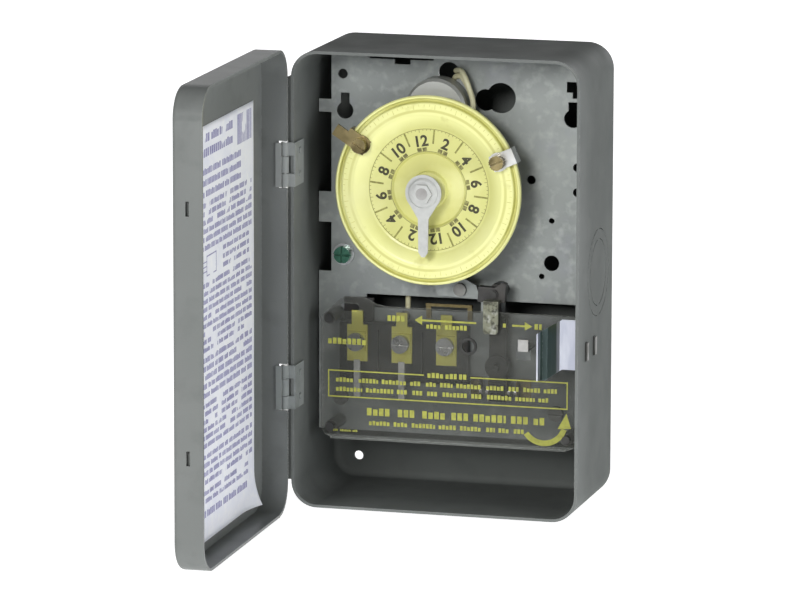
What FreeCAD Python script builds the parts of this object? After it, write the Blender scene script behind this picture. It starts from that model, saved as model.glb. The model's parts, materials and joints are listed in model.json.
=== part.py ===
import FreeCAD, Part
import math
import os

import Sketcher
from FreeCAD import Placement, Rotation, Vector

# A wall-mounted 24-hour mechanical time switch in a steel case with a hinged door.
# Frame: millimetres, +Z up, +X to the right, the front faces -Y. The origin is the centre
# of the case's back face. "Depth" is the distance in front of that face, so y = -depth.
# The door is stored open. Driving dimensions are cells of the Sizes sheet.

SIZES = {
    # case and door
    "case_width": 123.6, "case_height": 193.6, "case_depth": 63.5, "case_corner": 11.0,
    "case_bend": 4.2, "sheet": 1.2, "knockout_groove": 0.4,
    "door_width": 127.0, "door_height": 197.0, "door_corner": 12.7, "door_flange": 12.6,
    "door_lap": 1.0, "door_trim_lap": 0.7, "door_angle": 89.0,
    "pin_outboard": 0.7, "pin_forward": 0.8, "pin_radius": 0.9, "knuckle_radius": 1.7,
    "running_gap": 0.05, "knuckle_gap": 0.3, "leaf_height": 19.0, "leaf_thick": 0.8,
    "upper_hinge": 49.0, "lower_hinge": -45.5, "case_leaf_depth": 12.0, "door_leaf_depth": 1.6,
    "stop_thick": 1.7, "stop_depth": 8.0, "stop_length": 171.0,
    "label_thick": 0.2, "label_width": 106.0, "label_low": -93.5, "label_high": 77.5,
    "label_margin": 14.0, "lance_length": 6.0, "lance_height": 1.6, "lance_rise": 50.5,
    # wall fixings and knockouts
    "wall_hole_spacing": 100.0, "wall_hole_low": -87.0, "wall_hole_radius": 2.0,
    "keyhole_rise": 81.0, "keyhole_radius": 4.2, "keyhole_neck": 2.4, "keyhole_reach": 8.0,
    "small_knockout": 11.1, "large_knockout": 14.1, "ring_knockout": 18.5,
    "knockout_depth": 29.0, "floor_knockout_out": 28.0, "side_knockout_rise": 3.5,
    # mechanism plate
    "plate_depth": 28.0, "plate_thick": 1.2, "plate_left": -60.0, "plate_right": 59.5,
    "plate_top": 91.5, "plate_bottom": -70.0, "notch_width": 5.5,
    "standoff_radius": 4.0, "screw_head": 3.2, "screw_head_height": 2.2, "screw_shank": 1.6,
    # dial and clock drive
    "axis_across": -6.7, "axis_rise": 38.0, "post_radius": 2.5, "post_end": 59.0,
    "sleeve_radius": 4.1, "dial_radius": 40.0, "dial_ring_depth": 50.0, "dial_hub": 8.0,
    "gear_module": 0.6, "gear_teeth": 96.0, "pinion_teeth": 12.0, "gear_back": 42.4,
    "gear_thick": 2.4, "pinion_back": 42.2, "pinion_thick": 2.8, "backlash": 0.10,
    "motor_radius": 13.0, "motor_front": 38.0,
    "motor_wall": 0.8, "spring_wire": 0.35,
    "pointer_hub": 7.7, "pointer_length": 27.0, "pointer_depth": 55.4, "pointer_thick": 0.9,
    "on_angle": 147.0, "off_angle": 24.0, "tripper_reach": 46.5, "tripper_screw": 33.8,
    # switch and terminals
    "lever_across": 20.0, "lever_rise": -6.0, "lever_tip": -22.0, "shield_depth": 42.5,
    "shield_thick": 1.0, "shield_left": -54.4, "shield_right": 57.0, "shield_low": -70.5,
    "shield_high": -13.2, "shield_ear": -9.7,
    "terminal_first": -41.6, "terminal_pitch": 19.5, "terminal_rise": -30.5,
    "terminal_count": 3.0, "board_depth": 32.5,
    "carrier_across": 20.0, "carrier_rise": -38.0, "drive_pin_drop": 12.5, "contact_drop": 11.0,
    # mechanism catch
    "catch_front": 55.5, "catch_left": 41.5, "catch_high": -12.5, "catch_low": -40.5,
}

# Round holes through the mechanism plate: across, rise, radius.
PLATE_HOLES = {
    "pilot": (-49.5, 82.5, 2.1), "lead": (-3.3, 84.8, 4.5), "plug": (19.2, 75.0, 6.4),
    "plug_side": (12.6, 73.9, 4.6), "first_lead": (-22.1, -19.7, 2.3),
    "second_lead": (-41.6, -19.7, 2.3), "left_key": (-48.5, 67.0, 3.6), "right_key": (50.2, 67.5, 3.8),
    "gauge": (32.5, 41.0, 1.9), "edge_upper": (52.2, 47.0, 1.8), "edge_lower": (52.2, 36.5, 1.8),
    "rivet_upper": (41.4, 24.0, 1.2), "relief": (41.5, 6.0, 3.3), "rivet_lower": (37.2, 0.2, 1.2),
}
for hole, (across, rise, radius) in PLATE_HOLES.items():
    SIZES.update({hole + "_across": across, hole + "_rise": rise, hole + "_radius": radius})

os.makedirs("parts", exist_ok=True)
doc = FreeCAD.newDocument("time_switch")
sheet = doc.addObject("Spreadsheet::Sheet", "Sizes")
for row, (alias, number) in enumerate(SIZES.items(), start=1):
    sheet.set("A%d" % row, alias)
    sheet.set("B%d" % row, str(number))
    sheet.setAlias("B%d" % row, alias)
doc.recompute()

NODES = {}


class Size:
    """A length that carries its value and the sheet expression it comes from."""

    def __init__(self, value, text):
        self.value = value
        self.text = text

    def __add__(self, other):
        other = size(other)
        return Size(self.value + other.value, "(%s + %s)" % (self.text, other.text))

    def __radd__(self, other):
        return size(other) + self

    def __sub__(self, other):
        other = size(other)
        return Size(self.value - other.value, "(%s - %s)" % (self.text, other.text))

    def __rsub__(self, other):
        return size(other) - self

    def __mul__(self, factor):
        return Size(self.value * factor, "(%s * %s)" % (self.text, repr(float(factor))))

    __rmul__ = __mul__

    def __truediv__(self, divisor):
        return Size(self.value / divisor, "(%s / %s)" % (self.text, repr(float(divisor))))

    def __neg__(self):
        return Size(-self.value, "(0 - %s)" % self.text)


def size(item):
    """Turn a cell's alias, a number or a Size into a Size."""
    if isinstance(item, Size):
        return item
    if isinstance(item, str):
        return Size(float(sheet.get(item)), "Sizes." + item)
    return Size(float(item), "(%s)" % repr(float(item)))


def bind(thing, prop, item):
    """Set a property and keep it tied to the sheet."""
    item = size(item)
    if "Sizes." in item.text:
        thing.setExpression(prop, item.text)


def place(thing, x, y, z, rotation=None):
    x, y, z = size(x), size(y), size(z)
    thing.Placement = Placement(Vector(x.value, y.value, z.value), rotation or Rotation())
    for name, item in (("x", x), ("y", y), ("z", z)):
        bind(thing, "Placement.Base." + name, item)
    return thing


def block(x, depth, z, name="Block"):
    """A box between two x, two depths and two z, each given low first."""
    x, depth, z = [(size(low), size(high)) for low, high in (x, depth, z)]
    thing = doc.addObject("Part::Box", name)
    for prop, (low, high) in (("Length", x), ("Width", depth), ("Height", z)):
        setattr(thing, prop, (high - low).value)
        bind(thing, prop, high - low)
    return place(thing, x[0], -depth[1], z[0])


FORWARD = Rotation(Vector(1, 0, 0), 90)
SIDEWAYS = Rotation(Vector(0, 1, 0), 90)


def round_bar(radius, length, x, y, z, rotation, name):
    thing = doc.addObject("Part::Cylinder", name)
    thing.Radius = size(radius).value
    thing.Height = size(length).value
    bind(thing, "Radius", radius)
    bind(thing, "Height", length)
    return place(thing, x, y, z, rotation)


def rod(radius, x, z, depth, name="Rod"):
    """A cylinder that points forward, from the first depth to the second."""
    back, front = size(depth[0]), size(depth[1])
    return round_bar(radius, front - back, x, -back, z, FORWARD, name)


def column(radius, x, depth, z, name="Column"):
    """An upright cylinder between two z."""
    low, high = size(z[0]), size(z[1])
    return round_bar(radius, high - low, x, -size(depth), low, Rotation(), name)


def crossbar(radius, x, depth, z, name="Crossbar"):
    """A cylinder along X between two x."""
    low, high = size(x[0]), size(x[1])
    return round_bar(radius, high - low, low, -size(depth), z, SIDEWAYS, name)


def fuse(things, name="Fused"):
    if len(things) == 1:
        return things[0]
    thing = doc.addObject("Part::MultiFuse", name)
    thing.Shapes = things
    return thing


def cut(base, tools, name="Cut"):
    thing = doc.addObject("Part::Cut", name)
    thing.Base = base
    thing.Tool = fuse(tools, name + "Tools")
    return thing


def group(things, name="Group"):
    """Several separate solids in one sub-part."""
    thing = doc.addObject("Part::Compound", name)
    thing.Links = things
    return thing


def shaped(shape, name):
    thing = doc.addObject("Part::Feature", name)
    thing.Shape = shape
    return thing


def node(name, thing):
    thing.Label = name
    NODES[name] = thing
    return thing


# Sketch-based bodies

def body_plane(body, role):
    return [item for item in body.Origin.OriginFeatures if item.Role == role][0]


def new_sketch(body, role, name, offset=0.0):
    sketch = body.newObject("Sketcher::SketchObject", name)
    sketch.AttachmentSupport = [(body_plane(body, role), "")]
    sketch.MapMode = "FlatFace"
    offset = size(offset)
    sketch.AttachmentOffset = Placement(Vector(0, 0, offset.value), Rotation())
    bind(sketch, "AttachmentOffset.Base.z", offset)
    return sketch


def datum(sketch, *constraint):
    """Add a dimension whose last argument is a Size, and tie it to the sheet."""
    item = size(constraint[-1])
    index = sketch.addConstraint(Sketcher.Constraint(*constraint[:-1], item.value))
    if "Sizes." in item.text:
        sketch.setExpression("Constraints[%d]" % index, item.text)


def rounded_rectangle(sketch, width, height, corner):
    """Four lines and four tangent arcs about the sketch's origin."""
    width, height, corner = size(width), size(height), size(corner)
    half_w, half_h, radius = width.value / 2, height.value / 2, corner.value
    middles = [(1, 1), (-1, 1), (-1, -1), (1, -1)]
    centres = [Vector(sx * (half_w - radius), sy * (half_h - radius), 0) for sx, sy in middles]
    arcs = []
    for quarter, centre in enumerate(centres):
        circle = Part.Circle(centre, Vector(0, 0, 1), radius)
        start = quarter * math.pi / 2
        arcs.append(sketch.addGeometry(Part.ArcOfCircle(circle, start, start + math.pi / 2)))
    for index, arc in enumerate(arcs):
        after = arcs[(index + 1) % 4]
        line = sketch.addGeometry(Part.LineSegment(
            sketch.Geometry[arc].EndPoint, sketch.Geometry[after].StartPoint))
        sketch.addConstraint(Sketcher.Constraint("Tangent", arc, 2, line, 1))
        sketch.addConstraint(Sketcher.Constraint("Tangent", line, 2, after, 1))
        sketch.addConstraint(Sketcher.Constraint(("Horizontal", "Vertical")[index % 2], line))
    for arc in arcs[1:]:
        sketch.addConstraint(Sketcher.Constraint("Equal", arcs[0], arc))
    datum(sketch, "Radius", arcs[0], corner)
    datum(sketch, "DistanceX", -1, 1, arcs[0], 3, width / 2 - corner)
    datum(sketch, "DistanceY", -1, 1, arcs[0], 3, height / 2 - corner)
    datum(sketch, "DistanceX", arcs[2], 3, -1, 1, width / 2 - corner)
    datum(sketch, "DistanceY", arcs[2], 3, -1, 1, height / 2 - corner)


def outline(sketch, points):
    """A closed polygon with every corner dimensioned from the sketch's origin."""
    points = [(size(a), size(b)) for a, b in points]
    corners = [Vector(a.value, b.value, 0) for a, b in points]
    lines = []
    for start, end in zip(corners, corners[1:] + corners[:1]):
        lines.append(sketch.addGeometry(Part.LineSegment(start, end)))
    for line, after in zip(lines, lines[1:] + lines[:1]):
        sketch.addConstraint(Sketcher.Constraint("Coincident", line, 2, after, 1))
    for line, (a, b) in zip(lines, points):
        datum(sketch, "DistanceX", -1, 1, line, 1, a)
        datum(sketch, "DistanceY", -1, 1, line, 1, b)


def pad(body, sketch, length, name="Pad"):
    feature = body.newObject("PartDesign::Pad", name)
    feature.Profile = sketch
    feature.Length = size(length).value
    bind(feature, "Length", length)
    return feature


def pocket(body, sketch, length, name="Pocket", forward=False):
    feature = body.newObject("PartDesign::Pocket", name)
    feature.Profile = sketch
    feature.Length = size(length).value
    feature.Reversed = forward
    bind(feature, "Length", length)
    return feature


def turned(name, profile, across=0.0, rise=0.0):
    """A body of revolution about a forward axis; the profile lists (radius, depth)."""
    body = doc.addObject("PartDesign::Body", name)
    sketch = new_sketch(body, "XY_Plane", name + "Profile")
    outline(sketch, [(radius, -size(depth)) for radius, depth in profile])
    feature = body.newObject("PartDesign::Revolution", name + "Turn")
    feature.Profile = sketch
    feature.ReferenceAxis = (sketch, ["V_Axis"])
    feature.Angle = 360
    return place(body, across, 0, rise)


def plate_body(name, points, depth, thick):
    """A flat piece parallel to the wall; the outline lists (x, z), the depth is its back."""
    body = doc.addObject("PartDesign::Body", name)
    sketch = new_sketch(body, "XZ_Plane", name + "Outline", depth)
    outline(sketch, points)
    pad(body, sketch, thick, name + "Pad")
    return body


def edges_where(shape, test):
    names = []
    for index, edge in enumerate(shape.Edges, start=1):
        if test(edge):
            names.append("Edge%d" % index)
    return names


def round_edges(body, feature, radius, test, name):
    doc.recompute()
    fillet = body.newObject("PartDesign::Fillet", name)
    fillet.Base = (feature, edges_where(feature.Shape, test))
    fillet.Radius = size(radius).value
    bind(fillet, "Radius", radius)
    return fillet


def edge_at_depth(depth):
    """True for the edges that lie wholly in the plane at this depth."""
    def test(edge):
        box = edge.BoundBox
        return abs(box.YMin + depth) < 0.01 and abs(box.YMax + depth) < 0.01
    return test


# Case

half_width = size("case_width") / 2
half_height = size("case_height") / 2
sheet_metal = size("sheet")
inner_left = -half_width + sheet_metal
inner_right = half_width - sheet_metal
inner_floor = -half_height + sheet_metal


KNOCKOUT_BRIDGE = 1.5


def wall_knockout(radius, skin, rise, name):
    """A thin ring that scores a side wall; two bridges are left uncut."""
    depth, inside = size("knockout_depth"), size(radius) - "knockout_groove"
    bridge = block(skin, (depth - KNOCKOUT_BRIDGE, depth + KNOCKOUT_BRIDGE),
                   (size(rise) - radius - 1, size(rise) + radius + 1), name)
    return cut(crossbar(radius, skin, depth, rise, name),
               [crossbar(inside, skin, depth, rise, name), bridge], name)


def floor_knockout(radius, skin, across, name):
    """The same ring in the floor."""
    depth, inside = size("knockout_depth"), size(radius) - "knockout_groove"
    bridge = block((size(across) - radius - 1, size(across) + radius + 1),
                   (depth - KNOCKOUT_BRIDGE, depth + KNOCKOUT_BRIDGE), skin, name)
    return cut(column(radius, across, depth, skin, name),
               [column(inside, across, depth, skin, name), bridge], name)


def drawn_body(name, width, height, corner, back, length, bend):
    """A rounded block standing on a depth, with a bend round its back edge."""
    body = doc.addObject("PartDesign::Body", name)
    sketch = new_sketch(body, "XZ_Plane", name + "Outline", back)
    rounded_rectangle(sketch, width, height, corner)
    block_pad = pad(body, sketch, length, name + "Pad")
    round_edges(body, block_pad, bend, edge_at_depth(size(back).value), name + "Bend")
    return body


def make_case_body():
    outer = drawn_body("CaseOuter", "case_width", "case_height", "case_corner", 0.0,
                       "case_depth", "case_bend")
    core = drawn_body("CaseCore", size("case_width") - sheet_metal * 2,
                      size("case_height") - sheet_metal * 2, size("case_corner") - sheet_metal,
                      sheet_metal, "case_depth", size("case_bend") - sheet_metal)
    through_back = (-1, 3)
    spacing = size("wall_hole_spacing") / 2
    rise = size("keyhole_rise")
    tools = [rod("wall_hole_radius", side * spacing, "wall_hole_low", through_back)
             for side in (-1, 1)]
    neck = size("keyhole_neck")
    tools.append(rod("keyhole_radius", 0, rise, through_back))
    top = rise + "keyhole_reach"
    tools.append(rod(neck, 0, top, through_back))
    tools.append(block((-neck, neck), through_back, (rise, top)))
    # rings are scored half through the sheet from outside
    score = sheet_metal / 2
    right_skin = (half_width - score, half_width + 1)
    left_skin = (-half_width - 1, -half_width + score)
    floor_skin = (-half_height - 1, -half_height + score)
    for radius in ("large_knockout", "ring_knockout"):
        tools.append(wall_knockout(radius, right_skin, "side_knockout_rise", "RightRing"))
        tools.append(wall_knockout(radius, left_skin, "side_knockout_rise", "LeftRing"))
    for side in (-1, 1):
        across = side * size("floor_knockout_out")
        for radius in ("small_knockout", "large_knockout"):
            tools.append(floor_knockout(radius, floor_skin, across, "FloorRing"))
    # slots in the right wall that take the catch's two tongues
    middle = (size("catch_high") + size("catch_low")) / 2
    for back in TONGUE_BACKS:
        tools.append(block((inner_right - 1, half_width + 1), (back, back + 3.2),
                           (middle - 4.1, middle + 4.1), "TongueSlot"))
    node("case_body", cut(outer, [core] + tools, "CaseBody"))
    # a strip beside the hinges that the door's edge closes against
    stop_front = size("case_depth") - 1.3
    half_stop = size("stop_length") / 2
    strip = block((-half_width - "stop_thick", -half_width),
                  (stop_front - "stop_depth", stop_front), (-half_stop, half_stop), "StopStrip")
    node("door_stop_strip", group([strip], "DoorStopStrip"))


# Hinges. The pin axis is the origin of these pieces, with the door closed.

pin_x = -size("door_width") / 2 - size("pin_outboard")
pin_depth = size("case_depth") + size("pin_forward")
HINGE_ENDS = (0.31, 0.39, 0.31)


def knuckle_spans(centre):
    """Low and high z of the three knuckles: case, door, case."""
    low = size(centre) - size("leaf_height") / 2
    spans = []
    for share in HINGE_ENDS:
        high = low + size("leaf_height") * (share - 0.005)
        spans.append((low, high - size("knuckle_gap")))
        low = high
    return spans


def make_hinges():
    case_leaves, door_leaves, pins, rivets = [], [], [], []
    bore = size("pin_radius") + size("running_gap")
    knuckle, thick = size("knuckle_radius"), size("leaf_thick")
    wall_face = inner_left - pin_x
    rim = -size("pin_forward")
    case_back = rim - size("case_leaf_depth")
    door_face = size("pin_outboard") + sheet_metal
    for centre in ("upper_hinge", "lower_hinge"):
        lower, middle, upper = knuckle_spans(centre)
        low, high = lower[0], upper[1]
        # case half: a leaf on the wall and two knuckles
        solids = [block((wall_face, wall_face + thick), (case_back, rim), (low, high))]
        for span in (lower, upper):
            solids.append(column(knuckle, 0, 0, span))
            solids.append(block((1.2, wall_face + thick), (rim, rim + thick), span))
        case_leaves.append(cut(fuse(solids), [column(bore, 0, 0, (low - 1, high + 1))]))
        # door half: one knuckle and a leaf inside the door's flange
        solids = [column(knuckle, 0, 0, middle),
                  block((0, door_face + thick), (knuckle - thick, knuckle), middle),
                  block((door_face, door_face + thick),
                        (knuckle - thick, size("door_leaf_depth") + knuckle), (low, high))]
        door_leaves.append(cut(fuse(solids), [column(bore, 0, 0, (low - 1, high + 1))]))
        pins.append(fuse([column("pin_radius", 0, 0, (low - 0.3, high + 0.3)),
                          column(1.5, 0, 0, (high + 0.05, high + 0.35)),
                          column(1.5, 0, 0, (low - 0.35, low - 0.05))]))
        for rise in (-5.0, 5.0):
            head = size(centre) + rise
            rivets.append(crossbar(1.3, (wall_face + thick, wall_face + thick + 0.6),
                                   (case_back + rim) / 2, head))
    for name, solids in (("hinge_case_leaves", case_leaves), ("hinge_pins", pins),
                         ("hinge_rivets", rivets)):
        place(node(name, group(solids, "Hinge")), pin_x, -pin_depth, 0)
    return door_leaves


# Door. Built closed about the pin axis, then swung open as one.

def make_door(door_leaves):
    width, height = size("door_width"), size("door_height")
    left = size("pin_outboard")
    rim = -size("pin_forward") - size("door_lap")
    face = rim + size("door_flange")
    body = doc.addObject("PartDesign::Body", "DoorShell")
    outer = new_sketch(body, "XZ_Plane", "DoorOuter", rim)
    rounded_rectangle(outer, width, height, "door_corner")
    drawn = pad(body, outer, "door_flange", "DoorPad")
    round_edges(body, drawn, 1.8, edge_at_depth(face.value), "DoorBend")
    inner = new_sketch(body, "XZ_Plane", "DoorInner", rim)
    rounded_rectangle(inner, width - sheet_metal * 2, height - sheet_metal * 2,
                      size("door_corner") - sheet_metal)
    hollow = pocket(body, inner, size("door_flange") - sheet_metal, "DoorHollow", forward=True)
    body.Tip = hollow
    place(body, left + width / 2, 0, 0)
    doc.recompute()
    print("door shell volume", round(body.Shape.Volume))

    trimmed = -size("pin_forward") - size("door_trim_lap")
    tools = [block((left - 1, left + 13.5), (rim - 1, trimmed), (-height / 2 - 1, height / 2 + 1))]
    for centre in ("upper_hinge", "lower_hinge"):
        reach = size("leaf_height") / 2 + 0.45
        tools.append(block((left - 1, left + sheet_metal), (rim - 1, size("knuckle_radius") + 0.6),
                           (size(centre) - reach, size(centre) + reach), "HingeNotch"))
    # two slots in the free flange, each with a pressed cup behind it
    middle = rim + size("door_flange") / 2
    free, cups = left + width - sheet_metal, []
    half_tall, half_long = size("lance_height") / 2, size("lance_length") / 2
    for side in (-1, 1):
        rise = side * size("lance_rise")
        cups.append(block((free - 2.2, free + 0.2), (middle - half_tall - 0.8, middle + half_tall + 0.8),
                          (rise - half_long - 0.8, rise + half_long + 0.8), "LanceCup"))
        tools.append(block((free - 1.4, free + 3), (middle - half_tall, middle + half_tall),
                           (rise - half_long, rise + half_long), "Lance"))
    swing = Rotation(Vector(0, 0, 1), -size("door_angle").value)
    panel = node("door_panel", cut(fuse([body] + cups, "DoorPressing"), tools, "DoorPanel"))
    leaves = node("hinge_door_leaves", group(door_leaves, "DoorLeaves"))
    inside = face - sheet_metal
    near = left + size("label_margin")
    paper = block((near, near + size("label_width")), (inside - size("label_thick"), inside),
                  ("label_low", "label_high"), "Label")
    label = node("door_label", group([paper], "DoorLabel"))
    for thing in (panel, leaves, label):
        place(thing, pin_x, -pin_depth, 0, swing)


# Mechanism plate and its fixings

plate_back = size("plate_depth") - size("plate_thick")
plate_front = size("plate_depth")
PLATE_POSTS = ((-40.0, 50.0), (16.0, 53.0), (-50.0, -56.0), (44.0, -58.0))


def make_plate():
    left, right = size("plate_left"), size("plate_right")
    top, bottom, notch = size("plate_top"), size("plate_bottom"), size("notch_width")
    step = left + notch
    edge = [(left, bottom), (right, bottom), (right, top - 3), (right - 3, top),
            (-10, top), (-10, top - 2), (-20, top - 2), (-20, top - 4), (-27, top - 4),
            (-27, top - 2), (-38, top - 2), (-38, top), (step, top)]
    # three cut-backs along the left edge, each stepping in and out again
    for high, low in ((71.5, 66.0), (32.0, 19.0)):
        edge += [(step, high), (left, high), (left, low), (step, low)]
    edge += [(step, -2.0), (left, -2.0)]
    body = plate_body("Plate", edge, plate_back, "plate_thick")
    span = (plate_back - 1, plate_front + 1)
    tools = [rod(hole + "_radius", hole + "_across", hole + "_rise", span, "Hole")
             for hole in PLATE_HOLES]
    for key, half, reach in (("left_key", 1.9, 7.5), ("right_key", 2.0, 7.0)):
        across, rise = size(key + "_across"), size(key + "_rise")
        tools.append(block((across - half, across + half), span, (rise, rise + reach), "KeySlot"))
    tools.append(block((47.5, 51.5), span, (78.5, 83.0), "CornerSlot"))
    tools.append(block((50.0, 53.0), span, (76.0, 83.0), "CornerSlot"))
    # openings for the switch parts and for the lead to the motor
    tools.append(block((-39.0, 11.0), span, (-16.8, -11.0), "SwitchSlot"))
    tools.append(block((21.5, 53.0), span, (-16.6, -11.2), "BladeSlot"))
    tools.append(rod("post_radius", "axis_across", "axis_rise", span, "PostHole"))
    for across, rise in PLATE_POSTS:
        tools.append(rod(size("screw_shank") + 0.1, across, rise, span, "ScrewHole"))
    tools.append(rod(size("screw_shank") + 0.1, -49.0, 5.6, span, "GroundHole"))
    node("mechanism_plate", cut(body, tools, "MechanismPlate"))

    posts, screws = [], []
    for across, rise in PLATE_POSTS:
        post = rod("standoff_radius", across, rise, (sheet_metal, plate_back), "Standoff")
        bore = rod("screw_shank", across, rise, (plate_back - 8, plate_back), "Bore")
        posts.append(cut(post, [bore]))
        head = rod("screw_head", across, rise,
                   (plate_front, plate_front + size("screw_head_height")))
        shank = rod("screw_shank", across, rise, (plate_back - 8, plate_front))
        slot = block((size(across) - 4, size(across) + 4), (plate_front + 1.2, plate_front + 4),
                     (size(rise) - 0.4, size(rise) + 0.4))
        screws.append(cut(fuse([head, shank]), [slot]))
    node("plate_standoffs", group(posts, "Standoffs"))
    node("plate_screws", group(screws, "PlateScrews"))


def make_ground_screw():
    across, rise = -49.0, 5.6
    cup = cut(rod(4.6, across, rise, (plate_front, plate_front + 0.9)),
              [rod("screw_shank", across, rise, (plate_front - 1, plate_front + 2))])
    node("ground_cup_washer", cup)
    head = rod(3.6, across, rise, (plate_front + 0.9, plate_front + 3.6))
    shank = rod("screw_shank", across, rise, (plate_back - 6, plate_front + 0.9))
    slots = [block((across - 4, across + 4), (plate_front + 2.4, plate_front + 5),
                   (rise - 0.45, rise + 0.45)),
             block((across - 0.45, across + 0.45), (plate_front + 2.4, plate_front + 5),
                   (rise - 4, rise + 4))]
    node("ground_screw", cut(fuse([head, shank]), slots))
    nut = cut(rod(3.4, across, rise, (plate_back - 3.2, plate_back)),
              [rod("screw_shank", across, rise, (plate_back - 4, plate_back + 1))])
    node("ground_nut", nut)


CATCH_THICK = 0.7
TONGUE_BACKS = (34.0, 48.0)


def catch_strip(name, spine, offset):
    """Spring strip between two lists of (x, depth), as tall as the catch."""
    high, low = size("catch_high"), size("catch_low")
    body = doc.addObject("PartDesign::Body", name)
    sketch = new_sketch(body, "XY_Plane", name + "Profile", low)
    outline(sketch, [(x, -size(depth)) for x, depth in spine + offset[::-1]])
    pad(body, sketch, high - low, name + "Pad")
    return body


def taper(body, name, points, start, length):
    """Cut a corner off the strip, looking from the front."""
    sketch = new_sketch(body, "XZ_Plane", name, start)
    outline(sketch, points)
    body.Tip = pocket(body, sketch, length, name + "Cut", forward=True)


def make_catch():
    """A base strip tongued into the right wall and a sprung leaf with a lip."""
    front, left = size("catch_front"), size("catch_left")
    high, low = size("catch_high"), size("catch_low")
    wall, thick = inner_right, CATCH_THICK
    under = [(left + 2, low), (53.0, low + 7.0), (wall + 3, low + 7.0),
             (wall + 3, low - 5), (left + 2, low - 5)]
    base = catch_strip("CatchBase", [(wall, 30.0), (wall, front - 2.3)],
                       [(wall - thick, 30.0), (wall - thick, front - 2.3)])
    taper(base, "BaseTaper", under, 20, 50)
    middle = (high + low) / 2
    tongues = []
    for back in TONGUE_BACKS:
        tongues.append(block((wall - 0.3, half_width + 1.0), (back + 0.2, back + 1.2),
                             (middle - 3.8, middle + 3.8), "Tongue"))
        tongues.append(block((half_width + 0.2, half_width + 1.0), (back + 0.2, back + 3.0),
                             (middle - 3.8, middle + 3.8), "Tongue"))
    node("catch_base", fuse([base] + tongues, "CatchBaseBody"))
    # the leaf runs forward round the corner, across, and back in to the lip
    spine = [(wall - 0.1, front - 2.0), (wall - 2.0, front), (52.0, front), (left + 3.0, 46.2),
             (left + 0.6, 45.4), (left - 0.6, 46.6), (left - 0.6, 48.2)]
    offset = [(wall - thick - 0.2, front - 2.0), (wall - 2.3, front - thick),
              (52.4, front - thick), (left + 3.2, 45.5), (left + 0.5, 44.6),
              (left - 1.3, 46.3), (left - 1.3, 48.2)]
    leaf = catch_strip("CatchLeaf", spine, offset)
    upper = [(left - 5, high - 10.5), (53.0, high), (53.0, high + 5), (left - 5, high + 5)]
    taper(leaf, "LeafUpperTaper", upper, 40, 25)
    taper(leaf, "LeafLowerTaper", under, 20, 50)
    bead = column(0.33, wall - 0.35, front - 1.95, (low + 7.0, high), "FoldBead")
    node("catch_leaf", fuse([leaf, bead], "CatchLeafBody"))


# Motor

PINION_Z_GAP = 0.06


def gear_centres():
    teeth = size("gear_teeth").value + size("pinion_teeth").value
    return size("gear_module") * (teeth / 2) + PINION_Z_GAP


# the motor's spindle is in line with the pinion
motor_x, motor_z = size("axis_across"), size("axis_rise") + gear_centres()
motor_back = plate_front + 1.6
SHAFT_REACH = 2.0
SPINDLE_BORE = 1.05


def make_motor():
    radius, wall, front, back = size("motor_radius"), size("motor_wall"), size("motor_front"), motor_back
    can = turned("MotorCan", [(0, front), (radius - 1.2, front), (radius, front - 1.2),
                              (radius, back), (radius - wall, back),
                              (radius - wall, front - 1.5), (radius - 1.5, front - wall),
                              (0, front - wall)], motor_x, motor_z)
    bush = rod(2.4, motor_x, motor_z, (front - SHAFT_REACH, front + 0.5), "Bush")
    hole = rod(SPINDLE_BORE, motor_x, motor_z, (front - 4, front + 2), "ShaftHole")
    inlet = block((motor_x + radius - 3, motor_x + radius + 3), (29.7, 35.2),
                  (motor_z - 5.6, motor_z - 2.4), "LeadInlet")
    node("motor_can", cut(fuse([can, bush]), [hole, inlet], "MotorCanBody"))
    # ears on both sides, low enough for the dial to hide them
    base = [rod(radius, motor_x, motor_z, (plate_front, back), "MotorBase")]
    ear_z, screw_out = motor_z - 8.5, radius + 0.6
    ear_places = [motor_x + side * screw_out for side in (-1, 1)]
    for x in ear_places:
        base.append(block((x - 3.9, x + 3.9), (plate_front, back), (ear_z - 3.5, ear_z + 3.5), "Ear"))
    holes = [rod("screw_shank", x, ear_z, (plate_front - 1, back + 1)) for x in ear_places]
    holes.append(rod(SPINDLE_BORE, motor_x, motor_z, (plate_front - 1, back + 1)))
    node("motor_base", cut(fuse(base), holes, "MotorBaseBody"))
    screws = [fuse([rod("screw_shank", x, ear_z, (plate_front, back)),
                    rod(2.6, x, ear_z, (back, back + 1.6))]) for x in ear_places]
    node("motor_screws", group(screws, "MotorScrews"))
    inner = radius - wall
    node("coil_bobbin", turned("Bobbin", [
        (inner - 4.4, back), (inner - 0.2, back), (inner - 0.2, back + 0.8),
        (inner - 3.6, back + 0.8), (inner - 3.6, back + 6.0), (inner - 0.2, back + 6.0),
        (inner - 0.2, back + 6.8), (inner - 4.4, back + 6.8)], motor_x, motor_z))
    node("field_coil", turned("Coil", [
        (inner - 3.6, back + 0.8), (inner - 3.0, back + 0.8), (inner - 3.0, back + 1.0),
        (inner - 0.9, back + 1.0), (inner - 0.9, back + 5.8), (inner - 3.0, back + 5.8),
        (inner - 3.0, back + 6.0), (inner - 3.6, back + 6.0)], motor_x, motor_z))
    spindle_end = front - SHAFT_REACH - 0.4
    node("motor_rotor", fuse([rod(inner - 5.2, motor_x, motor_z, (back + 0.8, back + 5.4), "Magnet"),
                              rod(1.0, motor_x, motor_z, (plate_front, spindle_end), "Spindle")],
                             "Rotor"))


# Gears: involute flanks from the formula, arcs at tip and root

def involute_point(base, radius, start, side):
    roll = math.sqrt(max((radius / base) ** 2 - 1, 0))
    angle = start + side * (roll - math.atan(roll))
    return Vector(radius * math.cos(angle), radius * math.sin(angle), 0)


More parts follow.
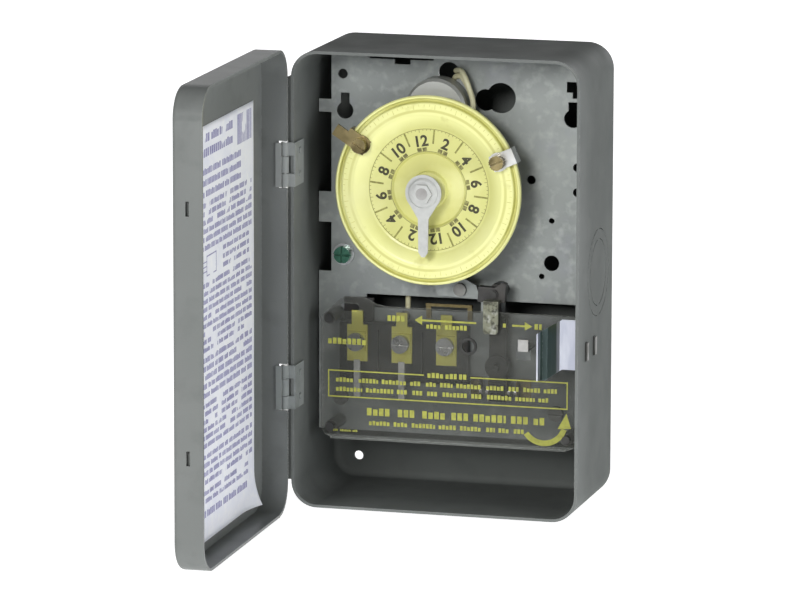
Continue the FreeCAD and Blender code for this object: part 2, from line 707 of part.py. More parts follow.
def gear_shape(teeth, module, thick, bore, first_tooth):
    pitch = module * teeth / 2
    base = pitch * math.cos(math.radians(20))
    tip, root = pitch + module, pitch - 1.25 * module
    inner = max(root, base)
    roll = math.tan(math.radians(20)) - math.radians(20)
    half = math.pi / (2 * teeth) - size("backlash").value / (4 * pitch) + roll
    edges, previous = [], None
    first = None
    for tooth in range(teeth):
        middle = first_tooth + 2 * math.pi * tooth / teeth
        radii = [inner + (tip - inner) * share for share in (0, 0.25, 0.5, 0.75, 1)]
        rising = [involute_point(base, radius, middle - half, 1) for radius in radii]
        falling = [involute_point(base, radius, middle + half, -1) for radius in radii][::-1]
        foot_in = Vector(root * math.cos(middle - half), root * math.sin(middle - half), 0)
        foot_out = Vector(root * math.cos(middle + half), root * math.sin(middle + half), 0)
        crest = Vector(tip * math.cos(middle), tip * math.sin(middle), 0)
        if previous is not None:
            edges.append(root_arc(previous, foot_in, root, middle - math.pi / teeth))
        else:
            first = foot_in
        if foot_in.distanceToPoint(rising[0]) > 1e-4:
            edges.append(Part.makeLine(foot_in, rising[0]))
        edges.append(spline_edge(rising))
        edges.append(Part.Arc(rising[-1], crest, falling[0]).toShape())
        edges.append(spline_edge(falling))
        if foot_out.distanceToPoint(falling[-1]) > 1e-4:
            edges.append(Part.makeLine(falling[-1], foot_out))
        previous = foot_out
    edges.append(root_arc(previous, first, root, first_tooth - math.pi / teeth))
    rim = Part.Wire(Part.__sortEdges__(edges))
    face = Part.Face([rim, Part.Wire(Part.makeCircle(bore))]) if bore else Part.Face(rim)
    face.validate()
    return face.extrude(Vector(0, 0, thick))


def root_arc(start, end, radius, angle):
    middle = Vector(radius * math.cos(angle), radius * math.sin(angle), 0)
    return Part.Arc(start, middle, end).toShape()


def spline_edge(points):
    curve = Part.BSplineCurve()
    curve.interpolate(points)
    return curve.toShape()


def make_gears():
    module = size("gear_module").value
    gear = gear_shape(int(size("gear_teeth").value), module, size("gear_thick").value,
                      size("sleeve_radius").value + size("running_gap").value, math.pi / 2)
    wheel = shaped(gear, "DialGear")
    place(node("dial_gear", wheel), "axis_across", -size("gear_back"), "axis_rise", FORWARD)
    teeth = int(size("pinion_teeth").value)
    pinion = gear_shape(teeth, module, size("pinion_thick").value, 0, -math.pi / 2 + math.pi / teeth)
    reach = size("pinion_back").value - size("motor_front").value + SHAFT_REACH
    shaft = Part.makeCylinder(1.0, reach, Vector(0, 0, -reach))
    turned_pinion = shaped(pinion.fuse(shaft).removeSplitter(), "OutputPinion")
    place(node("output_pinion", turned_pinion), motor_x, -size("pinion_back"), motor_z, FORWARD)


# Dial

def make_dial():
    bore = size("sleeve_radius") + size("running_gap")
    ring, radius, hub = size("dial_ring_depth"), size("dial_radius"), size("dial_hub")
    gear_front = size("gear_back") + size("gear_thick")
    node("dial_disc", turned("Dial", [
        (bore, gear_front), (15.4, gear_front), (16.2, ring - 4.2), (26.4, ring - 4.2),
        (31.6, ring - 1.6), (36.4, ring - 1.6), (37.2, ring - 3.2), (radius - 0.4, ring - 3.2),
        (radius, ring - 2.8), (radius, ring - 1.0), (radius - 0.5, ring - 0.5),
        (radius - 1.1, ring - 0.6), (38.4, ring - 2.0), (37.6, ring - 2.0), (37.1, ring - 0.3),
        (36.6, ring), (32.0, ring), (31.2, ring - 0.3), (26.8, ring - 2.4), (26.0, ring - 2.6),
        (16.0, ring - 2.6), (15.2, ring - 3.5), (hub, ring - 3.5), (hub - 0.4, ring - 0.9),
        (bore, ring - 0.9)], "axis_across", "axis_rise"))
    sleeve, post = size("sleeve_radius"), size("post_radius") + size("running_gap")
    node("dial_sleeve", turned("Sleeve", [
        (post, size("gear_back") - 1.8), (sleeve + 1.6, size("gear_back") - 1.8),
        (sleeve + 1.6, size("gear_back") - 0.2), (sleeve, size("gear_back") - 0.2),
        (sleeve, ring - 0.7), (sleeve + 1.6, ring - 0.7), (sleeve + 1.6, ring + 0.2),
        (post, ring + 0.2)], "axis_across", "axis_rise"))


def make_post_and_pointer():
    radius = size("post_radius")
    shoulder = rod(6.0, "axis_across", "axis_rise", (plate_front, plate_front + 1.5), "Shoulder")
    stem = rod(radius, "axis_across", "axis_rise", (plate_back, "post_end"), "Stem")
    node("centre_post", fuse([stem, shoulder], "CentrePost"))

    x, z = size("axis_across"), size("axis_rise")
    back, thick = size("pointer_depth"), size("pointer_thick")
    length, hub = size("pointer_length"), size("pointer_hub")
    arm = plate_body("PointerArm", [(-2.3, -5.0), (2.3, -5.0), (2.0, -(length - 2.0)),
                                    (0.7, -length), (-0.7, -length),
                                    (-2.0, -(length - 2.0))], back, thick)
    place(arm, x, 0, z)
    wings = plate_body("PointerShoulder", [(-6.2, -4.4), (6.2, -4.4), (2.2, -11.0),
                                           (-2.2, -11.0)], back, thick)
    place(wings, x, 0, z)
    disc = rod(hub, x, z, (back, back + thick), "PointerHub")
    node("pointer_hand", cut(fuse([disc, arm, wings]),
                             [rod(radius, x, z, (back - 1, back + 2))], "PointerHand"))
    washer_back = back + thick
    node("pointer_washer", turned("Washer", [
        (radius, washer_back), (6.3, washer_back), (6.3, washer_back + 0.5),
        (5.6, washer_back + 1.1), (radius, washer_back + 1.1)], x, z))
    nut = Part.Wire([Part.makeLine(*pair) for pair in hexagon_sides(4.3)])
    solid = Part.Face(nut).extrude(Vector(0, 0, 1.5))
    solid = solid.cut(Part.makeCylinder(radius.value, 3, Vector(0, 0, -1)))
    piece = shaped(solid, "PointerNut")
    place(node("pointer_nut", piece), x, -(washer_back + 1.1), z, FORWARD)
    make_dial_spring(x, z, size("dial_ring_depth") + 0.2, back)


def hexagon_sides(radius):
    corners = [Vector(radius * math.cos(math.radians(60 * step)),
                      radius * math.sin(math.radians(60 * step)), 0) for step in range(6)]
    return list(zip(corners, corners[1:] + corners[:1]))


def make_dial_spring(x, z, back, front):
    """A compression spring round the post, between the sleeve and the pointer."""
    wire = size("spring_wire").value
    length = front.value - back.value - 2 * wire - 0.1
    coil = 3.4
    helix = Part.makeHelix(length / 2.5, length, coil)
    section = Part.Wire(Part.makeCircle(wire, Vector(coil, 0, 0), Vector(0, 1, 0)))
    spring = Part.Wire(helix).makePipeShell([section], True, True)
    piece = shaped(spring, "DialSpring")
    place(node("dial_spring", piece), x, -(back + wire + 0.05), z, FORWARD)


# Trippers: built pointing along +X from the dial axis, then turned to their place

KNURLS = 18
KNURL_RADIUS = 3.1


def make_tripper(prefix, angle, reach):
    turn = Rotation(Vector(0, -1, 0), size(angle).value)
    ring = size("dial_ring_depth")
    rim, screw_at = size("dial_radius") + 0.2, size("tripper_screw")
    solids = [block((screw_at - 3.0, rim + 1.0), (ring + 0.5, ring + 1.6), (-3.4, 3.4), "FrontLeg"),
              block((rim, rim + 1.0), (ring - 4.8, ring + 1.6), (-3.4, 3.4), "Web"),
              block((36.5, rim + 1.0), (ring - 4.8, ring - 3.8), (-3.4, 3.4), "BackLeg"),
              rod(4.0, screw_at, 0, (ring + 0.5, ring + 1.6), "Seat")]
    if reach is not None:
        solids.append(block((rim, reach), (ring + 0.2, ring + 1.6), (-1.6, 3.4), "Finger"))
    clamp = cut(fuse(solids), [rod(1.3, screw_at, 0, (ring - 1, ring + 4))], "Tripper")
    place(node(prefix + "_tripper", clamp), "axis_across", 0, "axis_rise", turn)
    head_back, out = ring.value + 1.7, screw_at.value
    tall, groove_at = 4.0, KNURL_RADIUS + 0.15
    head = Part.makeCylinder(KNURL_RADIUS, tall, Vector(out, -head_back, 0), Vector(0, -1, 0))
    for step in range(KNURLS):
        bearing = 2 * math.pi * step / KNURLS
        groove = Vector(out + groove_at * math.cos(bearing), -head_back,
                        groove_at * math.sin(bearing))
        head = head.cut(Part.makeCylinder(0.32, tall, groove, Vector(0, -1, 0)))
    shaft = Part.makeCylinder(1.22, 1.65, Vector(out, -ring.value - 0.05, 0), Vector(0, -1, 0))
    slot = Part.makeBox(8, 1.2, 0.9, Vector(out - 4, -head_back - tall - 0.1, -0.45))
    screw = shaped(head.fuse(shaft).cut(slot), "TripperScrew")
    place(node(prefix + "_tripper_screw", screw), "axis_across", 0, "axis_rise", turn)


# Lever, switch and terminals

CAM_BACK = 37.5
CAM_FRONT = CAM_BACK + 4.0


def make_lever():
    x, z = size("lever_across"), size("lever_rise")
    stud = fuse([rod(1.5, x, z, (plate_front, CAM_FRONT + 1.3), "Stud"),
                 rod(3.4, x, z, (plate_front, plate_front + 1.2), "StudFoot")])
    node("lever_stud", stud)
    bore = rod(1.56, x, z, (plate_front - 1, 60), "LeverBore")
    hub_back = plate_front + 1.5
    # moulded cam behind, where the trippers pass, with a tail that carries the drive pin
    drop = size("drive_pin_drop")
    cam = plate_body("Cam", [(-7.0, -3.4), (-2.4, -3.6), (-2.4, -drop - 2.4), (2.4, -drop - 2.4),
                             (2.4, -3.6), (4.6, -3.4), (5.2, 4.4), (3.6, 5.0), (0.4, 2.8),
                             (-6.6, 3.0)], CAM_BACK, CAM_FRONT - CAM_BACK)
    place(cam, x, 0, z)
    boss = rod(3.6, x, z, (hub_back, CAM_BACK), "CamBoss")
    pin = rod(1.2, x, z - drop, (31.5, CAM_BACK), "DrivePin")
    node("lever_cam", cut(fuse([cam, boss, pin]), [bore], "LeverCam"))
    # steel hand lever: a neck from the cam over the shield, and a tab down the shield's front
    shield_front = size("shield_depth") + size("shield_thick")
    tip, neck_top = size("lever_tip") - z, -2.1
    tab = plate_body("LeverTab", [(-3.2, neck_top), (-3.2, tip + 1.0), (-2.4, tip), (2.4, tip),
                                  (3.2, tip + 1.0), (3.2, neck_top)], shield_front + 2.0, 1.2)
    place(tab, x, 0, z)
    neck = block((x - 3.2, x + 3.2), (CAM_FRONT, shield_front + 3.2),
                 (z + neck_top - 1.2, z + neck_top), "Neck")
    node("hand_lever", fuse([tab, neck], "HandLever"))
    clip = cut(rod(2.0, x, z, (CAM_FRONT + 0.1, CAM_FRONT + 0.8), "Retainer"),
               [rod(1.5, x, z, (CAM_FRONT - 1, CAM_FRONT + 2))])
    node("lever_retainer", clip)


def make_bracket():
    """Light steel bracket under the dial with its shouldered rivet."""
    points = [(-6.0, -9.0), (12.4, -9.8), (10.4, -4.0), (1.0, 0.8), (-9.0, 0.8), (-9.0, -2.0)]
    bracket = plate_body("Bracket", points, 33.0, 1.0)
    feet = [rod(1.8, x, z, (plate_front, 33.0), "Foot") for x, z in ((-6.6, -1.0), (9.6, -7.6))]
    rivet_x, rivet_z = 3.6, -6.0
    hole = rod(1.6, rivet_x, rivet_z, (32, 35), "RivetHole")
    node("dial_bracket", cut(fuse([bracket] + feet), [hole], "DialBracket"))
    node("bracket_rivet", fuse([rod(1.6, rivet_x, rivet_z, (32.2, 34.0)),
                                rod(2.7, rivet_x, rivet_z, (34.0, 35.6))], "BracketRivet"))


def terminal_places():
    first, pitch = size("terminal_first"), size("terminal_pitch")
    return [first + pitch * index for index in range(int(size("terminal_count").value))]


def make_terminals():
    rise, face = size("terminal_rise"), size("board_depth")
    left = size("terminal_first") - 8
    right = terminal_places()[-1] + 9
    body = block((left, right), (plate_front, face), (rise - 17.0, rise + 8.0), "Board")
    tongue = block((left + 1.2, left + 14.0), (plate_front, plate_front + 1.5),
                   (rise + 8.0, rise + 18.0), "BoardTongue")
    board = fuse([body, tongue], "BoardBody")
    bores = [rod(1.7, x, rise, (face - 3.5, face + 1)) for x in terminal_places()]
    bores.append(rod("second_lead_radius", "second_lead_across", "second_lead_rise",
                     (plate_front - 1, plate_front + 3), "LeadHole"))
    for x in terminal_places()[:-1]:
        middle = x + size("terminal_pitch") / 2
        bores.append(block((middle - 1.0, middle + 1.0), (face - 1.5, face + 1),
                           (rise - 14.0, rise + 5.0), "Barrier"))
    node("terminal_board", cut(board, bores, "TerminalBoard"))
    plates, saddles, screws = [], [], []
    for x in terminal_places():
        strip = [block((x - 4.4, x + 4.4), (face, face + 1.0), (rise - 8.6, rise + 7.0)),
                 block((x - 2.4, x + 2.4), (face, face + 1.0), (rise + 6.0, rise + 13.0))]
        plates.append(cut(fuse(strip), [rod(1.7, x, rise, (face - 1, face + 2))]))
        saddle = block((x - 4.0, x + 4.0), (face + 1.0, face + 2.2), (rise - 4.2, rise + 4.2))
        saddles.append(cut(saddle, [rod(1.7, x, rise, (face, face + 4))]))
        head = rod(3.8, x, rise, (face + 2.2, face + 4.8))
        shank = rod(1.6, x, rise, (face - 3.4, face + 2.2))
        slot = block((x - 5, x + 5), (face + 3.6, face + 6), (rise - 0.5, rise + 0.5))
        screws.append(cut(fuse([head, shank]), [slot]))
    node("terminal_plates", group(plates, "TerminalPlates"))
    node("wire_saddles", group(saddles, "Saddles"))
    node("terminal_screws", group(screws, "TerminalScrews"))
    tails = [block((x - 1.3, x + 1.3), (face + 1.0, face + 1.6), (rise - 24.0, rise - 8.0), "Tail")
             for x in terminal_places()[:-1]]
    lugs = [block((x - 1.3, x + 1.3), (face, face + 1.0), (rise - 24.0, rise - 8.6), "TailLug")
            for x in terminal_places()[:-1]]
    links = [fuse(pair) for pair in zip(tails, lugs)]
    node("terminal_links", group(links, "TerminalLinks"))


def make_switch():
    """A rocking carrier worked by the lever's pin, with a moving and a fixed contact each side."""
    x, z = size("carrier_across"), size("carrier_rise")
    pivot = fuse([rod(1.5, x, z, (plate_front, 40.0), "Pivot"),
                  rod(3.0, x, z, (plate_front, plate_front + 0.9), "PivotFoot")])
    node("carrier_stud", pivot)
    back, thick, half = 30.5, 4.0, 3.6
    fork = size("lever_rise") - size("drive_pin_drop") - z
    drop = size("contact_drop")
    arm = plate_body("CarrierArm", [
        (-half, -drop - 4), (half, -drop - 4), (half, fork + 2), (1.6, fork + 2),
        (1.6, fork - 3), (-1.6, fork - 3), (-1.6, fork + 2), (-half, fork + 2)], back, thick)
    place(arm, x, 0, z)
    boss = rod(5.0, x, z, (29.2, 36.5), "CarrierBoss")
    node("contact_carrier", cut(fuse([arm, boss]), [rod(1.56, x, z, (20, 50))], "Carrier"))
    blades, buttons, fixed, anvils = [], [], [], []
    span, rise = (back, back + thick), (z - drop - 4, z - drop + 5)
    button_depth, gap, strip, button = back + thick / 2, 1.7, 0.5, 1.1

    def bar_across(start, length, side, radius=None):
        """A bar that leaves the carrier's side at a distance from its centre line."""
        ends = (x + start, x + start + length) if side > 0 else (x - start - length, x - start)
        if radius:
            return crossbar(radius, ends, button_depth, z - drop, "Contact")
        return block(ends, span, rise, "Strip")

    for side in (-1, 1):
        blades.append(bar_across(half, strip, side))
        buttons.append(bar_across(half + strip, button, side, 1.7))
        face = half + strip + button + gap
        anvils.append(bar_across(face, button, side, 1.7))
        post = bar_across(face + button, strip, side)
        edge = size(face + button)
        ends = (x + edge, x + edge + 5) if side > 0 else (x - edge - 5, x - edge)
        foot = block(ends, (plate_front, plate_front + 0.8), rise, "BladeFoot")
        riser_ends = (x + edge, x + edge + strip) if side > 0 else (x - edge - strip, x - edge)
        riser = block(riser_ends, (plate_front, back), rise, "BladeRiser")
        fixed.append(fuse([post, riser, foot]))
    node("moving_blades", group(blades, "MovingBlades"))
    node("moving_contacts", group(buttons, "MovingContacts"))
    node("fixed_blades", group(fixed, "FixedBlades"))
    node("fixed_contacts", group(anvils, "FixedContacts"))
    bar = block((-12.5, 7.5), (29.2, 30.0), (-14.6, -13.4), "BusBar")
    feet = block((-12.5, -10.5), (plate_front, 29.2), (-20.0, -13.4), "BusFoot")
    end = block((5.5, 7.5), (plate_front, 29.2), (-20.0, -13.4), "BusFoot")
    node("bus_bar", fuse([bar, feet, end], "BusBarBody"))


SHIELD_POSTS = ((-50.5, -66.0), (52.0, -66.0), (-51.2, -19.4))


def make_shield():
    left, right = size("shield_left"), size("shield_right")
    low, high, ear = size("shield_low"), size("shield_high"), size("shield_ear")
    depth, thick = size("shield_depth"), size("shield_thick")
    points = [(left, low + 4.4), (left + 1.3, low + 1.3), (left + 4.4, low), (right - 4.4, low),
              (right - 1.3, low + 1.3), (right, low + 4.4), (right, high - 1.6),
              (right - 1.6, high), (-26.5, high), (-30.5, high + 0.9), (-35.4, ear - 0.3),
              (-37.4, ear), (-43.6, ear), (-46.0, ear - 1.0), (left, ear - 8.6)]
    sheet_body = plate_body("Shield", points, depth, thick)
    lip = block((left + 4.4, right - 4.4), (depth, depth + 3.2), (low, low + 1.0), "BottomLip")
    edge = block((left, left + 1.0), (depth, depth + 2.0), (low + 4.4, ear - 9.0), "SideLip")
    span = (depth - 1, depth + 5)
    tools = [rod(2.6, 9.8, -28.2, span, "PeepHole"),
             block((30.6, 36.6), span, (-32.8, -27.8), "HookSlot"),
             block((-44.4, -39.6), span, (-16.0, -12.6), "EarHole"),
             rod(1.7, -44.4, -14.3, span, "EarHole"), rod(1.7, -39.6, -14.3, span, "EarHole")]
    for x, z in SHIELD_POSTS:
        tools.append(rod(1.3, x, z, span, "PostHole"))
    node("insulator_shield", cut(fuse([sheet_body, lip, edge]), tools, "InsulatorShield"))
    grommet = cut(rod(3.6, 9.8, -28.2, (depth + thick, depth + thick + 0.8)),
                  [rod(2.6, 9.8, -28.2, span)])
    node("shield_grommet", grommet)
    posts, rivets = [], []
    for x, z in SHIELD_POSTS:
        posts.append(cut(rod(2.6, x, z, (plate_front, depth)), [rod(1.2, x, z, (38, 44))]))
        rivets.append(fuse([rod(1.2, x, z, (38, depth + thick)),
                            rod(1.8, x, z, (depth + thick, depth + thick + 0.6))]))
    node("shield_posts", group(posts, "ShieldPosts"))
    node("shield_rivets", group(rivets, "ShieldRivets"))
    hook = [block((31.4, 35.8), (plate_front, depth + 2.2), (-29.0, -28.2), "HookArm"),
            block((31.4, 35.8), (depth + 1.4, depth + 2.2), (-29.0, -24.0), "HookTab")]
    node("shield_hook", fuse(hook, "ShieldHook"))


# Motor leads: straight runs joined by tangent arcs

LEAD_RADIUS = 1.15


def rounded_path(points, share=0.45):
    """A wire through the points with each corner rounded by the largest tangent arc."""
    points = [Vector(*point) for point in points]
    edges, start = [], points[0]
    for before, corner, after in zip(points, points[1:], points[2:]):
        incoming, outgoing = (corner - before), (after - corner)
        reach = share * min(incoming.Length, outgoing.Length)
        turn = incoming.getAngle(outgoing)
        incoming.normalize()
        outgoing.normalize()
        first, last = corner - incoming * reach, corner + outgoing * reach
        radius = reach / math.tan(turn / 2)
        bisector = (outgoing - incoming).normalize()
        centre = corner + bisector * (radius / math.cos(turn / 2))
        middle = centre - bisector * radius
        edges.append(Part.makeLine(start, first))
        edges.append(Part.Arc(first, middle, last).toShape())
        start = last
    edges.append(Part.makeLine(start, points[-1]))
    return Part.Wire(edges)


def make_leads():
    """Two leads from the motor, over the plate, through its top hole and down its back."""
    side, inlet = motor_x.value + size("motor_radius").value, motor_z.value - 4.0
    strip_back = -size("board_depth").value
    hole_x, hole_z = size("lead_across").value, size("lead_rise").value
    hidden = -(plate_back.value - LEAD_RADIUS - 0.1)
    step = 2 * LEAD_RADIUS + 0.2
    leads = []
    # the second lead lies behind the first, and between it and the plate lower down
    for prefix, inward, lower, behind in (("first_lead", 0.0, 0.0, hidden + step),
                                          ("second_lead", step, 1.0, hidden)):
        terminal, exit_z = size(prefix + "_across").value, size(prefix + "_rise").value - 0.3
        left, entry = lower * 0.6, hole_z + 1.2 - lower * 2.6
        path = rounded_path([
            (side - 0.8 - left, -33.8 + inward, inlet),
            (side + 2.3 - left, -34.0 + inward, inlet + 1.4),
            (side + 2.6 - left, -34.2 + inward, 74.2 - lower * 0.4),
            (5.9 - left, -34.0 + inward, 82.6 - lower * 1.6),
            (3.0 - left, -31.7 + inward * 0.7, entry + 0.8),
            (hole_x + 2.9, -28.6, entry),
            (hole_x + 2.7 - lower * 0.8, behind, entry - 1.4),
            (hole_x + 2.2 - lower * 2.6, behind, 72.0),
            (hole_x + (terminal - hole_x) * 0.5, behind, 34.0),
            (terminal, behind, -4.0), (terminal, behind, exit_z),
            (terminal, strip_back, exit_z)])
        first = path.Edges[0]
        start, normal = first.Vertexes[0].Point, first.tangentAt(first.FirstParameter)
        section = Part.Wire(Part.makeCircle(LEAD_RADIUS, start, normal))
        lead = path.makePipeShell([section], True, False, 2)
        print("lead length %.1f volume %.2f expected %.2f" % (
            path.Length, lead.Volume, math.pi * LEAD_RADIUS ** 2 * path.Length))
        leads.append(shaped(lead, "Lead"))
    node("motor_leads", group(leads, "MotorLeads"))


make_case_body()
make_door(make_hinges())
make_plate()
make_ground_screw()
make_catch()
make_motor()
make_gears()
make_dial()
make_post_and_pointer()
make_tripper("on", "on_angle", "tripper_reach")
make_tripper("off", "off_angle", None)
make_lever()
make_bracket()
make_terminals()
make_switch()
make_shield()
make_leads()
doc.recompute()

faults = []
for thing in doc.Objects:
    if "Invalid" in thing.State or "Error" in thing.State:
        faults.append("%s %s" % (thing.Label, thing.State))
for name, thing in NODES.items():
    shape = thing.Shape
    if shape.isNull() or not shape.isValid() or not shape.Solids:
        faults.append("%s has no valid solid" % name)
if faults:
    raise RuntimeError("; ".join(faults))
for name, thing in NODES.items():
    thing.Shape.exportStep("parts/%s.step" % name)
    box = thing.Shape.BoundBox
    print("%-22s solids %2d volume %9.1f  x %6.1f %6.1f  depth %6.1f %6.1f  z %6.1f %6.1f" % (
        name, len(thing.Shape.Solids), thing.Shape.Volume, box.XMin, box.XMax, -box.YMax,
        -box.YMin, box.ZMin, box.ZMax))
print(len(NODES), "sub-parts")
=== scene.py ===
import json
import math
import random

import bmesh
import bpy
from mathutils import Matrix, Vector


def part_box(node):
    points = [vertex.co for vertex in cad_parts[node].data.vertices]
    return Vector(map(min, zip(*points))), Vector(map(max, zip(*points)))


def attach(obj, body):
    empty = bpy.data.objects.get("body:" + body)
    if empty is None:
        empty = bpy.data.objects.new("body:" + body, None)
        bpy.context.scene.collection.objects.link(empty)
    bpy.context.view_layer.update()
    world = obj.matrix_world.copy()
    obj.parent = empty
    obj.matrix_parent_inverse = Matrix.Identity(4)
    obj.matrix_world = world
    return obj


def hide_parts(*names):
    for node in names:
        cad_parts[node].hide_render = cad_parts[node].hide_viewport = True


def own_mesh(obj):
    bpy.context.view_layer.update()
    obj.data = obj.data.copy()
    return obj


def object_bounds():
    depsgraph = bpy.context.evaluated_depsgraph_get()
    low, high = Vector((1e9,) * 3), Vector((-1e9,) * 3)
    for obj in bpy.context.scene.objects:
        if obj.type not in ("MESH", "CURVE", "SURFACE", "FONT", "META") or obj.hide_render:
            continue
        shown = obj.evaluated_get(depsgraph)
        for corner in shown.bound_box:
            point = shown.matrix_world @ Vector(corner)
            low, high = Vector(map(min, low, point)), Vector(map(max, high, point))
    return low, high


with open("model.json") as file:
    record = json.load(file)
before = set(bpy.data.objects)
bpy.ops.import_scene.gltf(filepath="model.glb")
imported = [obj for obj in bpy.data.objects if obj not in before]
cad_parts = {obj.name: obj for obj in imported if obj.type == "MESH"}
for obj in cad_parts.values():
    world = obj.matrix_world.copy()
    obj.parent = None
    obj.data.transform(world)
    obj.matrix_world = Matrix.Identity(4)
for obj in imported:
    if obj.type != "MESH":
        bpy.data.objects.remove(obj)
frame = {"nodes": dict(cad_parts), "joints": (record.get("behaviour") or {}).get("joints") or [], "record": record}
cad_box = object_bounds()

# Looks of a wall-mounted time switch: a grey steel case with its door open, a yellow dial,
# a smoked shield with generic yellow marks, and a printed label with no words on it.
# Lengths are in metres, and MM turns millimetres into metres. The layouts of printed marks
# are in millimetres, and named angles are in degrees. The front faces -Y.

MM = 0.001
random.seed(7)
nodes = frame["nodes"]


def add_object(name, data):
    piece = bpy.data.objects.new(name, data)
    bpy.context.scene.collection.objects.link(piece)
    return piece


def joint(name):
    return next(entry for entry in frame["joints"] if entry["name"] == name)


# Camera and stage

CAMERA_AZIMUTH, CAMERA_ELEVATION, CAMERA_ROLL = 15.457, 10.493, 0.141
CAMERA_AIM = Vector((-32.1, 0.0, -18.4)) * MM
CAMERA_DISTANCE = 2.480
SENSOR_WIDTH, FOCAL_LENGTH = 36.0, 261.07   # in millimetres, as Blender's camera takes them

# the floor runs from -STAGE_SIDE to STAGE_BACK, curves up with radius SWEEP and ends at WALL_TOP
STAGE_SIDE, STAGE_BACK, SWEEP, WALL_TOP = 5.0, 3.6, 0.8, 4.0
FLOOR_GAP = 0.5 * MM

# every light is an area light that faces the origin: name, place, width, height, watts, colour
LIGHTS = (("key", (-0.2, -2.15, 0.75), 0.6, 0.6, 29, (1.0, 0.995, 0.98)),
          ("back_fill", (0.5, 2.7, 0.5), 1.0, 1.0, 18, (0.98, 0.99, 1.0)),
          ("side_fill", (2.0, -0.95, 0.2), 0.9, 1.2, 24, (0.97, 0.98, 1.0)))
WORLD_COLOUR, WORLD_STRENGTH = (0.97, 0.98, 1.0, 1), 0.07


def facing(direction):
    """The turn of a camera or light that looks along a direction."""
    return direction.to_track_quat("-Z", "Y")


def make_camera():
    azimuth, elevation = math.radians(CAMERA_AZIMUTH), math.radians(CAMERA_ELEVATION)
    back = Vector((math.sin(azimuth) * math.cos(elevation),
                   -math.cos(azimuth) * math.cos(elevation), math.sin(elevation)))
    data = bpy.data.cameras.new("camera")
    data.sensor_width, data.lens = SENSOR_WIDTH, FOCAL_LENGTH
    data.clip_start, data.clip_end = 0.1, 50.0
    camera = add_object("camera", data)
    camera.location = CAMERA_AIM + back * CAMERA_DISTANCE
    roll = Matrix.Rotation(math.radians(CAMERA_ROLL), 3, "Z")
    camera.rotation_euler = (facing(-back).to_matrix() @ roll).to_euler()
    bpy.context.scene.camera = camera


def make_lights():
    """Area lights and a dim, even world, with colours shown as they are."""
    for name, place, width, height, power, colour in LIGHTS:
        data = bpy.data.lights.new(name, "AREA")
        data.shape = "RECTANGLE"
        data.size, data.size_y = width, height
        data.energy = power
        data.color = colour
        light = add_object(name, data)
        light.location = place
        light.rotation_euler = facing(-Vector(place)).to_euler()
    world = bpy.data.worlds.new("studio")
    world.use_nodes = True
    background = world.node_tree.nodes["Background"]
    background.inputs["Color"].default_value = WORLD_COLOUR
    background.inputs["Strength"].default_value = WORLD_STRENGTH
    bpy.context.scene.world = world
    bpy.context.scene.view_settings.view_transform = "Standard"


def make_stage():
    """A floor that curves up into a backdrop, extruded sideways."""
    floor = cad_box[0].z - FLOOR_GAP
    profile = [(-STAGE_SIDE, 0.0), (STAGE_BACK, 0.0)]
    for step in range(10, 91, 10):
        angle = math.radians(step)
        profile.append((STAGE_BACK + SWEEP * math.sin(angle), SWEEP - SWEEP * math.cos(angle)))
    profile.append((STAGE_BACK + SWEEP, WALL_TOP))
    shape = bmesh.new()
    left, right = [[shape.verts.new((side, y, floor + z)) for y, z in profile]
                   for side in (-STAGE_SIDE, STAGE_SIDE)]
    for near in range(len(profile) - 1):
        shape.faces.new((left[near], right[near], right[near + 1], left[near + 1]))
    mesh = bpy.data.meshes.new("studio_floor")
    shape.to_mesh(mesh)
    shape.free()
    mesh.polygons.foreach_set("use_smooth", [True] * len(mesh.polygons))
    mesh.materials.append(stage_white())
    add_object("studio_floor", mesh)


# Materials

